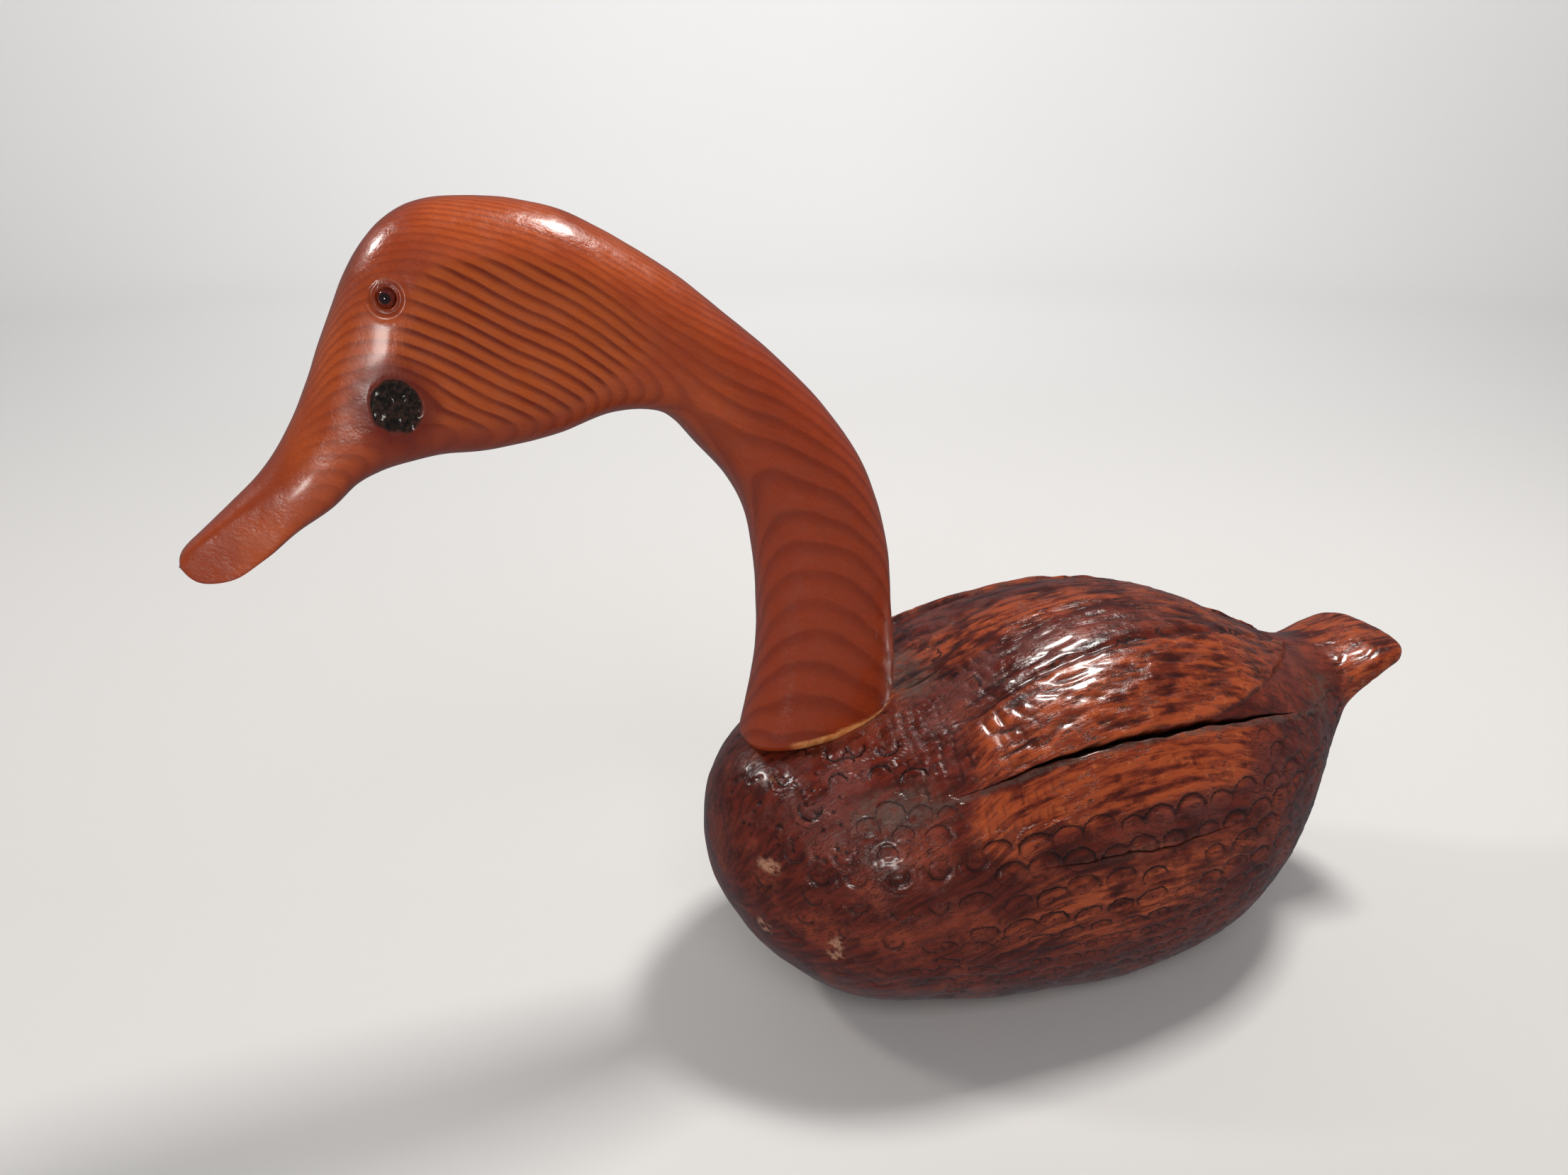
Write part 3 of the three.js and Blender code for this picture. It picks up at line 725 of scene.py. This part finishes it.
def head_angles():
    """Column angles, closer together where the eyes are."""
    fine = np.linspace(0, 360, 3600, endpoint=False)
    turn = np.minimum(fine, 360 - fine)
    density = 1 + 1.6 * bell(turn - 66, 14) + 0.5 * bell(turn - 110, 30)
    travelled = np.concatenate([[0], np.cumsum(density)])[:-1]
    wanted = np.linspace(0, travelled[-1] + density[-1], HEAD_COLUMNS, endpoint=False)
    return np.interp(wanted, travelled, fine)


def head_weight(middles):
    """Rings lie closer together at the eyes than on the neck."""
    return 1 + 1.3 * bell(middles[:, 0] + 163, 13) * smoothstep(middles[:, 2], 200, 230)


def eye_spots():
    spots = {}
    for name, side in (("eye_left", -1), ("eye_right", 1)):
        low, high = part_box(name)
        spots[name] = (np.array((low + high) / 2) / MM, side)
    return spots


def head_height(points):
    """Cuts in the head: the eye sockets, the rings round them and the knot's pit."""
    direction = np.array(EYE_FACET[1]) / np.linalg.norm(EYE_FACET[1])
    height = np.zeros(points.shape[:2])
    ring = np.zeros(points.shape[:2])
    for centre, side in eye_spots().values():
        axis = direction * np.array([1, -side, 1])
        offset = points - centre
        above = offset @ axis
        away = np.linalg.norm(offset - above[..., None] * axis, axis=-1)
        near = (np.sign(points[..., 1]) == side) & (np.abs(above) < 8)
        height -= np.where(near, SOCKET_DEPTH * smoothstep(-away, -SOCKET_RADIUS, -SOCKET_RADIUS + 0.7), 0)
        height -= np.where(near, RING_CUT_DEPTH * bell(away - RING_RADIUS, RING_CUT_WIDTH), 0)
        height += np.where(near, 0.22 * bell(away - RING_RADIUS - 1.3, 0.8), 0)
        # How much painted shade the material puts in the ring cut and at the socket's rim.
        ring = np.maximum(ring, np.where(near, bell(away - RING_RADIUS, 0.7) + bell(away - 3.0, 0.6), 0))
    across = (points[..., 0] - KNOT_PLACE[0]) / KNOT_HALF_SIZE[0]
    upward = (points[..., 2] - KNOT_PLACE[1]) / KNOT_HALF_SIZE[1]
    wobble = 0.10 * random_field(points, 4, 5)
    ratio = np.hypot(across, upward) + wobble
    left = points[..., 1] < -5
    pit = np.where(left, smoothstep(-ratio, -1.05, -0.86), 0)
    lumps = 0.55 + 0.45 * random_field(points, 2.2, 6)
    height -= pit * KNOT_DEPTH * lumps
    return height, np.clip(ring, 0, 1), np.where(left, ratio, 9)


def body_top(x, y):
    """Height of the plain body under points on its back."""
    places = np.linspace(0, len(BODY_RIBS) - 1, 600)
    table = rows_at(BODY_RIBS, places)
    half_width, top, widest, upper = (np.interp(x, table[:, 0], table[:, column]) for column in (1, 2, 3, 5))
    inside = np.clip(1 - np.abs(y / np.maximum(half_width, 1)) ** upper, 0, 1)
    return widest + (top - widest) * inside ** (1 / upper)


def make_head():
    last = len(NECK_RIBS) - 1
    coarse = np.arange(0, 360, 15.0)
    places = even_places(
        lambda fine: outline(neck_ribs_at(fine), np.broadcast_to(coarse, (len(fine), len(coarse)))),
        last, HEAD_ROWS, head_weight)
    angles = np.broadcast_to(head_angles(), (HEAD_ROWS, HEAD_COLUMNS))
    points = outline(neck_ribs_at(places), angles)
    points = cut_facet(cut_facet(points, CHEEK_FACET), EYE_FACET)
    outward = normals_of(points)
    height, ring, knot = head_height(points)
    half_widths = neck_ribs_at(places)[:, 4]
    ends = smoothstep(half_widths, 2, 8)[:, None]
    ripple = 0.10 * random_field(points, 9, 3) + 0.22 * random_field(points, 24, 4)
    above_body = points[..., 2] - body_top(points[..., 0], points[..., 1])
    foot = smoothstep(-above_body, -9, -2) * (points[..., 2:3] < 150)[..., 0]
    carved = points + outward * ((height + ripple * (1 - foot)) * ends)[..., None]
    seat = neck_ribs_at(np.array([0.0]))[0]
    normal = np.array([seat[3] - seat[1], 0, seat[0] - seat[2]])
    normal = normal / np.linalg.norm(normal)
    carved = np.concatenate([carved[:1] - normal * SEAT_DEPTH, carved])
    pad = lambda field: np.concatenate([field[:1], field])
    third = np.cross(FIBRE_DIRECTION, SHEET_DIRECTION)
    fibre = np.stack([points @ FIBRE_DIRECTION, points @ SHEET_DIRECTION, points @ third], -1)
    cheek = smoothstep(np.abs(points[..., 1]), 18.7, 19.35) * smoothstep(-points[..., 0], 80, 95)
    bill = smoothstep(-points[..., 0], 176, 196)
    neck = smoothstep(points[..., 0], -90, -50)
    figure = 0.34 * (1 - bill) + 0.5 * cheek + 0.1 * neck
    turn = np.minimum(angles, 360 - angles)
    # Darker underneath the head and the bill, partly stain and partly painted shade.
    below = smoothstep(turn, 100, 150) * (1 - 0.75 * neck)
    return skin("carved_head_and_neck", carved, {
        "rings": pad(ring_phase(points, knot)), "fibre": pad(fibre) * MM, "eye_ring": pad(ring),
        "knot": pad(knot), "joint": pad(joint_band(points, above_body)), "bill": pad(bill),
        "figure": pad(figure), "cheek": pad(cheek), "below": pad(below), "neck": pad(neck),
    })


def ring_phase(points, knot):
    """Number of growth rings up to each point."""
    x, y, z = np.moveaxis(points, -1, 0)
    ahead = x + 165
    head = (z + 0.48 * ahead + 0.0021 * ahead ** 2 + SHEET_SLOPE[1] * y) / HEAD_RING_PITCH
    sheet = np.maximum(z + SHEET_SLOPE[0] * x + SHEET_SLOPE[1] * y, 1) / 100
    neck = sheet ** 1.63 * 100 / (1.63 * NECK_RING_PITCH)
    middle = HEAD_TO_NECK_RINGS
    share = smoothstep(x, -100, -50)
    sway = 0.35 * random_field(points, 60, 7) + 0.1 * random_field(points, 20, 8)
    above_knot = np.tanh((z - KNOT_PLACE[1]) / 3)
    bend = 1.1 * above_knot * np.exp(-np.clip(knot - 0.8, 0, 9) * 1.4)
    return head * (1 - share) + (neck + middle) * share + sway - bend


def joint_band(points, above_body):
    """Pale line at the neck's foot, widest at the front of the left side and thin at the back."""
    front = smoothstep(-points[..., 0], 6, 56)
    width = 0.6 + 3.6 * front + 0.5 * random_field(points, 8, 9)
    low = points[..., 2] < 140
    return np.where(low, smoothstep(-above_body, -width - 0.35, -width + 0.35), 0)


def make_eye(name, centre, side):
    """Glass bead whose darker middle faces out of the socket."""
    direction = np.array(EYE_FACET[1]) / np.linalg.norm(EYE_FACET[1]) * np.array([1, -side, 1])
    low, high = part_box(name)
    radius = min(high - low) / 2 / MM
    turn = Vector((0, 0, 1)).rotation_difference(Vector(direction)).to_matrix()
    rings = []
    for latitude in np.linspace(0, math.pi, 33):
        around = np.linspace(0, 2 * math.pi, 48, endpoint=False)
        flat = np.stack([np.cos(around), np.sin(around), 0 * around], -1) * math.sin(latitude)
        rings.append((flat + np.array([0, 0, math.cos(latitude)])) * radius)
    rings = np.array(rings)
    facing = rings[..., 2] / radius
    rings = rings @ np.array(turn).T + centre
    return skin("bead_" + name, rings, {"facing": facing})


# Materials
class Paint:
    """A material whose nodes are added by short calls."""

    def __init__(self, name):
        self.material = bpy.data.materials.new(name)
        self.material.use_nodes = True
        self.tree = self.material.node_tree
        self.shader = self.tree.nodes["Principled BSDF"]

    def put(self, socket, value):
        if isinstance(value, bpy.types.NodeSocket):
            self.tree.links.new(value, socket)
        else:
            socket.default_value = value

    def node(self, kind, values, output=0, **settings):
        made = self.tree.nodes.new("ShaderNode" + kind)
        for key, value in settings.items():
            setattr(made, key, value)
        for key, value in values.items():
            self.put(made.inputs[key], value)
        return made.outputs[output]

    def field(self, name):
        return self.node("Attribute", {}, "Fac", attribute_name=name)

    def vector(self, name):
        return self.node("Attribute", {}, "Vector", attribute_name=name)

    def math(self, operation, first, second=0.0):
        return self.node("Math", {0: first, 1: second}, operation=operation)

    def ramp(self, value, low, high, start=0.0, stop=1.0):
        values = {"Value": value, "From Min": low, "From Max": high, "To Min": start, "To Max": stop}
        return self.node("MapRange", values, interpolation_type="SMOOTHSTEP")

    def noise(self, vector, scale, detail=3.0, roughness=0.55):
        values = {"Vector": vector, "Scale": scale, "Detail": detail, "Roughness": roughness}
        return self.node("TexNoise", values)

    def stretched(self, vector, scale):
        return self.node("Mapping", {"Vector": vector, "Scale": scale})

    def mix(self, amount, first, second, blend="MIX"):
        made = self.tree.nodes.new("ShaderNodeMix")
        made.data_type = "RGBA"
        made.blend_type = blend
        self.put(made.inputs[0], amount)
        self.put(made.inputs[6], first)
        self.put(made.inputs[7], second)
        return made.outputs[2]

    def bump(self, height, distance, strength=1.0, normal=None):
        values = {"Height": height, "Distance": distance, "Strength": strength}
        if normal is not None:
            values["Normal"] = normal
        return self.node("Bump", values)

    def set(self, **values):
        for key, value in values.items():
            self.put(self.shader.inputs[key.replace("_", " ")], value)


def colour(red, green, blue):
    return (red, green, blue, 1)


def body_material():
    """Dark red stain over a carved log, rubbed to orange on the wings, under gloss varnish, with painted shade in
    the cuts, the wings' upper grooves and the cracks.
    """
    paint = Paint("stained log under varnish")
    flow = paint.vector("flow")
    place = paint.node("TexCoord", {}, "Object")
    blotches = paint.noise(place, 55, 5, 0.62)
    specks = paint.noise(place, 330, 4, 0.6)
    streaks = paint.noise(paint.stretched(flow, (55, 330, 200)), 1, 4, 0.6)
    fine_streaks = paint.noise(paint.stretched(flow, (140, 1300, 700)), 1, 3, 0.55)

    dark = paint.mix(paint.ramp(streaks, 0.35, 0.68), colour(0.05, 0.0062, 0.0032), colour(0.14, 0.0165, 0.007))
    dark = paint.mix(paint.ramp(blotches, 0.44, 0.68), dark, colour(0.24, 0.036, 0.012))
    amount = paint.math("MULTIPLY", paint.field("orange"), paint.ramp(blotches, 0.28, 0.55, 0.3, 1.2))
    amount = paint.math("MULTIPLY", amount, paint.ramp(streaks, 0.3, 0.62, 0.4, 1.25))
    bright = paint.mix(paint.ramp(streaks, 0.36, 0.62), colour(0.19, 0.025, 0.008), colour(0.36, 0.064, 0.016))
    bright = paint.mix(paint.ramp(specks, 0.56, 0.72, 0, 0.7), bright, colour(0.5, 0.12, 0.035))
    surface = paint.mix(paint.ramp(amount, 0.15, 0.75), dark, bright)

    purple = paint.math("MULTIPLY", paint.field("purple"), paint.ramp(blotches, 0.36, 0.56))
    surface = paint.mix(paint.ramp(purple, 0.1, 0.9, 0, 0.6), surface, colour(0.12, 0.035, 0.032))
    grey = paint.math("MULTIPLY", paint.field("grey"), paint.ramp(specks, 0.3, 0.62, 0.4, 1))
    surface = paint.mix(paint.ramp(grey, 0.15, 0.85, 0, 0.8), surface, colour(0.11, 0.066, 0.052))
    worn = paint.math("MULTIPLY", paint.field("worn"), paint.ramp(specks, 0.36, 0.6, 0.2, 1.1))
    surface = paint.mix(paint.ramp(worn, 0.25, 0.8), surface, colour(0.42, 0.2, 0.12))

    # Painted shade: the deeper a cut, the darker its floor.
    depth_shade = paint.ramp(paint.field("height"), -0.9, -0.15, 0.55, 0)
    surface = paint.mix(depth_shade, surface, colour(0.03, 0.0045, 0.003))
    # Painted shade in the cuts, strokes and grooves, broken up by specks.
    cut_shade_amount = paint.math("MULTIPLY", paint.field("cut_shade"), paint.ramp(specks, 0.3, 0.6, 0.5, 1.1))
    surface = paint.mix(paint.ramp(cut_shade_amount, 0.1, 0.85, 0, 0.9), surface, colour(0.018, 0.004, 0.0035))
    # Painted shade: a thin wavering line along each cut's steep rim wall, and another in the groove at the wings'
    # upper edge.
    waver = paint.ramp(specks, 0.3, 0.7, -0.35, 0.35)
    rim = paint.math("ADD", paint.field("rim"), waver)
    line = paint.ramp(paint.math("ABSOLUTE", paint.math("ADD", rim, 0.1)), 0.12, 0.62, 1, 0)
    line = paint.math("MULTIPLY", line, paint.field("rim_shade_strength"))
    groove_side = paint.math("ADD", paint.field("wing_line"), paint.ramp(blotches, 0.3, 0.7, -4, 4))
    groove_shade_line = paint.ramp(paint.math("ABSOLUTE", groove_side), 0.2, 1.3, 1, 0)
    groove_shade_line = paint.math("MULTIPLY", groove_shade_line, paint.ramp(streaks, 0.4, 0.55))
    line = paint.math("MAXIMUM", line, groove_shade_line)
    # Both lines are painted shade.
    surface = paint.mix(paint.math("MULTIPLY", line, 0.92), surface, colour(0.014, 0.004, 0.0035))
    contour = paint.math("ABSOLUTE", paint.math("SUBTRACT", streaks, 0.5))
    dashes = paint.math("MULTIPLY", paint.ramp(contour, 0.0, 0.022, 0.85, 0), paint.ramp(blotches, 0.45, 0.6))
    surface = paint.mix(dashes, surface, colour(0.03, 0.005, 0.004))
    pores = paint.ramp(fine_streaks, 0.3, 0.42, 0.5, 0)
    surface = paint.mix(pores, surface, colour(0.03, 0.006, 0.004))
    # Painted shade: the inside of each crack is painted near-black.
    surface = paint.mix(paint.field("inside_crack"), surface, colour(0.008, 0.003, 0.0025))

    shine = paint.ramp(blotches, 0.35, 0.65, 0.2, 0.36)
    shine = paint.math("ADD", shine, paint.math("MULTIPLY", paint.field("inside_crack"), 0.5))
    step = paint.math("MULTIPLY", paint.ramp(rim, -0.4, 0.3), paint.field("rim_shade_strength"))
    relief = paint.bump(fine_streaks, 0.0004, 0.5)
    relief = paint.bump(specks, 0.0006, 0.6, relief)
    relief = paint.bump(dashes, -0.0006, 0.5, relief)
    relief = paint.bump(step, 0.0007, 0.8, relief)
    paint.set(Base_Color=surface, Roughness=shine, Normal=relief, Coat_Weight=0.55, Coat_Roughness=0.14,
              Coat_IOR=1.45, IOR=1.45)
    return paint.material


def head_material():
    """Orange softwood with growth rings and one knot, under clear gloss varnish, darker underneath from stain and
    painted shade, with painted shade in the eye rings.
    """
    paint = Paint("varnished softwood")
    place = paint.node("TexCoord", {}, "Object")
    fibre = paint.vector("fibre")
    clouds = paint.noise(place, 30, 3, 0.5)
    silk = paint.noise(paint.stretched(fibre, (90, 1500, 1500)), 1, 4, 0.6)
    sway = paint.math("MULTIPLY", paint.noise(place, 70, 2, 0.5), 0.35)
    phase = paint.math("FRACT", paint.math("ADD", paint.field("rings"), sway))
    late = paint.math("MULTIPLY", paint.ramp(phase, 0.3, 0.8), paint.ramp(phase, 0.84, 1.0, 1, 0))
    strength = paint.math("MULTIPLY", late, paint.field("figure"))
    strength = paint.math("MULTIPLY", strength, paint.ramp(clouds, 0.28, 0.62, 0.6, 1.15))

    plain = paint.mix(paint.ramp(clouds, 0.35, 0.65), colour(0.36, 0.052, 0.012), colour(0.52, 0.092, 0.018))
    plain = paint.mix(paint.field("neck"), plain, colour(0.33, 0.043, 0.0095))
    light = paint.mix(paint.field("cheek"), plain, colour(0.47, 0.086, 0.012))
    wood = paint.mix(strength, light, colour(0.14, 0.012, 0.003))
    wood = paint.mix(paint.ramp(silk, 0.34, 0.7, 0.2, 0), wood, colour(0.16, 0.016, 0.004))
    # Darker underneath, partly stain and partly painted shade.
    wood = paint.mix(paint.math("MULTIPLY", paint.field("below"), 0.6), wood, colour(0.14, 0.012, 0.004))

    knot = paint.field("knot")
    halo = paint.ramp(knot, 1.0, 2.2, 0.85, 0)
    wood = paint.mix(halo, wood, colour(0.13, 0.008, 0.003))
    bark = paint.noise(place, 700, 5, 0.65)
    charred = paint.mix(paint.ramp(bark, 0.42, 0.66), colour(0.006, 0.003, 0.002), colour(0.06, 0.024, 0.013))
    wood = paint.mix(paint.ramp(knot, 0.88, 1.04, 1, 0), wood, charred)
    # Painted shade in the cut ring round each eye and at the socket's rim.
    wood = paint.mix(paint.math("MULTIPLY", paint.field("eye_ring"), 0.55), wood, colour(0.17, 0.018, 0.005))
    chalk = paint.noise(place, 420, 4, 0.6)
    pale = paint.mix(paint.ramp(chalk, 0.35, 0.62), colour(0.62, 0.19, 0.05), colour(0.82, 0.38, 0.14))
    wood = paint.mix(paint.field("joint"), wood, pale)

    handled = paint.noise(place, 160, 4, 0.6)
    peel = paint.noise(place, 900, 2, 0.5)
    shine = paint.ramp(handled, 0.35, 0.68, 0.24, 0.42)
    shine = paint.math("ADD", shine, paint.ramp(knot, 0.9, 1.05, 0.25, 0))
    relief = paint.bump(silk, 0.0001, 0.5)
    relief = paint.bump(peel, 0.0001, 0.6, relief)
    relief = paint.bump(handled, 0.0007, 0.5, relief)
    inside_knot = paint.math("MULTIPLY", bark, paint.ramp(knot, 0.85, 1.0, 1, 0))
    relief = paint.bump(inside_knot, 0.0016, 0.9, relief)
    paint.set(Base_Color=wood, Roughness=shine, Normal=relief, Coat_Weight=0.6, Coat_Roughness=0.12,
              Coat_IOR=1.45, IOR=1.45)
    return paint.material


def bead_material():
    """Dark red glass bead with a near-black middle."""
    paint = Paint("dark red bead")
    place = paint.node("TexCoord", {}, "Object")
    facing = paint.field("facing")
    flecks = paint.noise(place, 900, 3, 0.6)
    rim = paint.mix(paint.ramp(flecks, 0.4, 0.65), colour(0.09, 0.008, 0.004), colour(0.2, 0.02, 0.008))
    tint = paint.mix(paint.ramp(facing, 0.74, 0.88), rim, colour(0.012, 0.003, 0.003))
    paint.set(Base_Color=tint, Roughness=0.07, Coat_Weight=1.0, Coat_Roughness=0.02)
    return paint.material


def floor_material():
    paint = Paint("pale studio floor")
    place = paint.node("TexCoord", {}, "Object")
    cloud = paint.noise(place, 2, 2, 0.5)
    tint = paint.mix(cloud, colour(0.7, 0.69, 0.68), colour(0.72, 0.71, 0.7))
    paint.set(Base_Color=tint, Roughness=0.8)
    return paint.material


# Studio
FLOOR_RADIUS = 2.2
WALL_RISE = 2.4
WALL_CURVE = 1.2


def make_floor():
    """Round floor that curves up into a pale wall on all sides."""
    profile = [(radius, 0.0) for radius in np.linspace(0.4, FLOOR_RADIUS, 8)]
    for angle in np.linspace(0, math.pi / 2, 17)[1:]:
        profile.append((FLOOR_RADIUS + WALL_CURVE * math.sin(angle), WALL_CURVE * (1 - math.cos(angle))))
    profile.append((FLOOR_RADIUS + WALL_CURVE, WALL_RISE))
    sides = 96
    vertices = [(0.0, 0.0, 0.0)]
    faces = []
    for radius, height in profile:
        for side in range(sides):
            angle = 2 * math.pi * side / sides
            vertices.append((radius * math.cos(angle), radius * math.sin(angle), height))
    for side in range(sides):
        beside = (side + 1) % sides
        faces.append((0, 1 + side, 1 + beside))
        for ring in range(len(profile) - 1):
            low = 1 + ring * sides
            faces.append((low + side, low + sides + side, low + sides + beside, low + beside))
    mesh = bpy.data.meshes.new("studio_floor")
    mesh.from_pydata(vertices, [], faces)
    mesh.shade_smooth()
    floor = bpy.data.objects.new("studio_floor", mesh)
    floor.data.materials.append(floor_material())
    bpy.context.scene.collection.objects.link(floor)
    floor.visible_glossy = False


def area_light(name, place, target, size, power, tint=(1, 1, 1)):
    data = bpy.data.lights.new(name, "AREA")
    data.shape = "RECTANGLE"
    data.size, data.size_y = size
    data.energy = power
    data.color = tint
    light = bpy.data.objects.new(name, data)
    light.location = place
    light.rotation_euler = (Vector(target) - Vector(place)).to_track_quat("-Z", "Y").to_euler()
    bpy.context.scene.collection.objects.link(light)
    return light


def make_lights():
    area_light("key above", (0.42, 0.1, 1.3), (0, 0, 0.1), (0.28, 0.2), 12, (1, 0.97, 0.93))
    area_light("front above", (-0.95, 0.55, 1.05), (-0.1, 0, 0.2), (0.2, 0.16), 4, (1, 0.97, 0.93))
    area_light("front left", (-0.9, -1.21, 0.285), (-0.15, 0, 0.25), (0.2, 0.24), 3.5, (1, 0.97, 0.93))
    fill = area_light("wide fill", (-0.6, -1.6, 1.6), (0, 0, 0.1), (1.4, 1.0), 16)
    fill.visible_glossy = False
    area_light("wall wash", (0.4, 1.2, 2.2), (1.2, 3.4, 0.9), (1.6, 0.8), 60)
    world = bpy.data.worlds.new("studio")
    world.use_nodes = True
    background = world.node_tree.nodes["Background"]
    background.inputs["Color"].default_value = colour(0.9, 0.93, 1)
    background.inputs["Strength"].default_value = 0.12
    bpy.context.scene.world = world
    bpy.context.scene.view_settings.view_transform = "Standard"


# Camera
CAMERA_PLACE = (-0.17434, -0.35865, 0.30954)
CAMERA_AZIMUTH = -20
CAMERA_ELEVATION = 21
FOCAL_PIXELS = 1700
FRAME_WIDTH_PIXELS = 2212
SENSOR_WIDTH = 36


def make_camera():
    data = bpy.data.cameras.new("camera")
    data.sensor_fit = "HORIZONTAL"
    data.sensor_width = SENSOR_WIDTH
    data.lens = SENSOR_WIDTH * FOCAL_PIXELS / FRAME_WIDTH_PIXELS
    data.clip_start = 0.01
    camera = bpy.data.objects.new("camera", data)
    camera.location = CAMERA_PLACE
    camera.rotation_euler = ((90 - CAMERA_ELEVATION) * DEGREE, 0, CAMERA_AZIMUTH * DEGREE)
    bpy.context.scene.collection.objects.link(camera)
    bpy.context.scene.camera = camera


def dress(piece, material, node):
    piece.data.materials.append(material)
    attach(piece, "root")
    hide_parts(node)


make_camera()
make_lights()
make_floor()
dress(make_body(), body_material(), "body")
dress(make_head(), head_material(), "head_and_neck")
bead = bead_material()
for eye_name, (eye_centre, eye_side) in eye_spots().items():
    dress(make_eye(eye_name, eye_centre, eye_side), bead, eye_name)
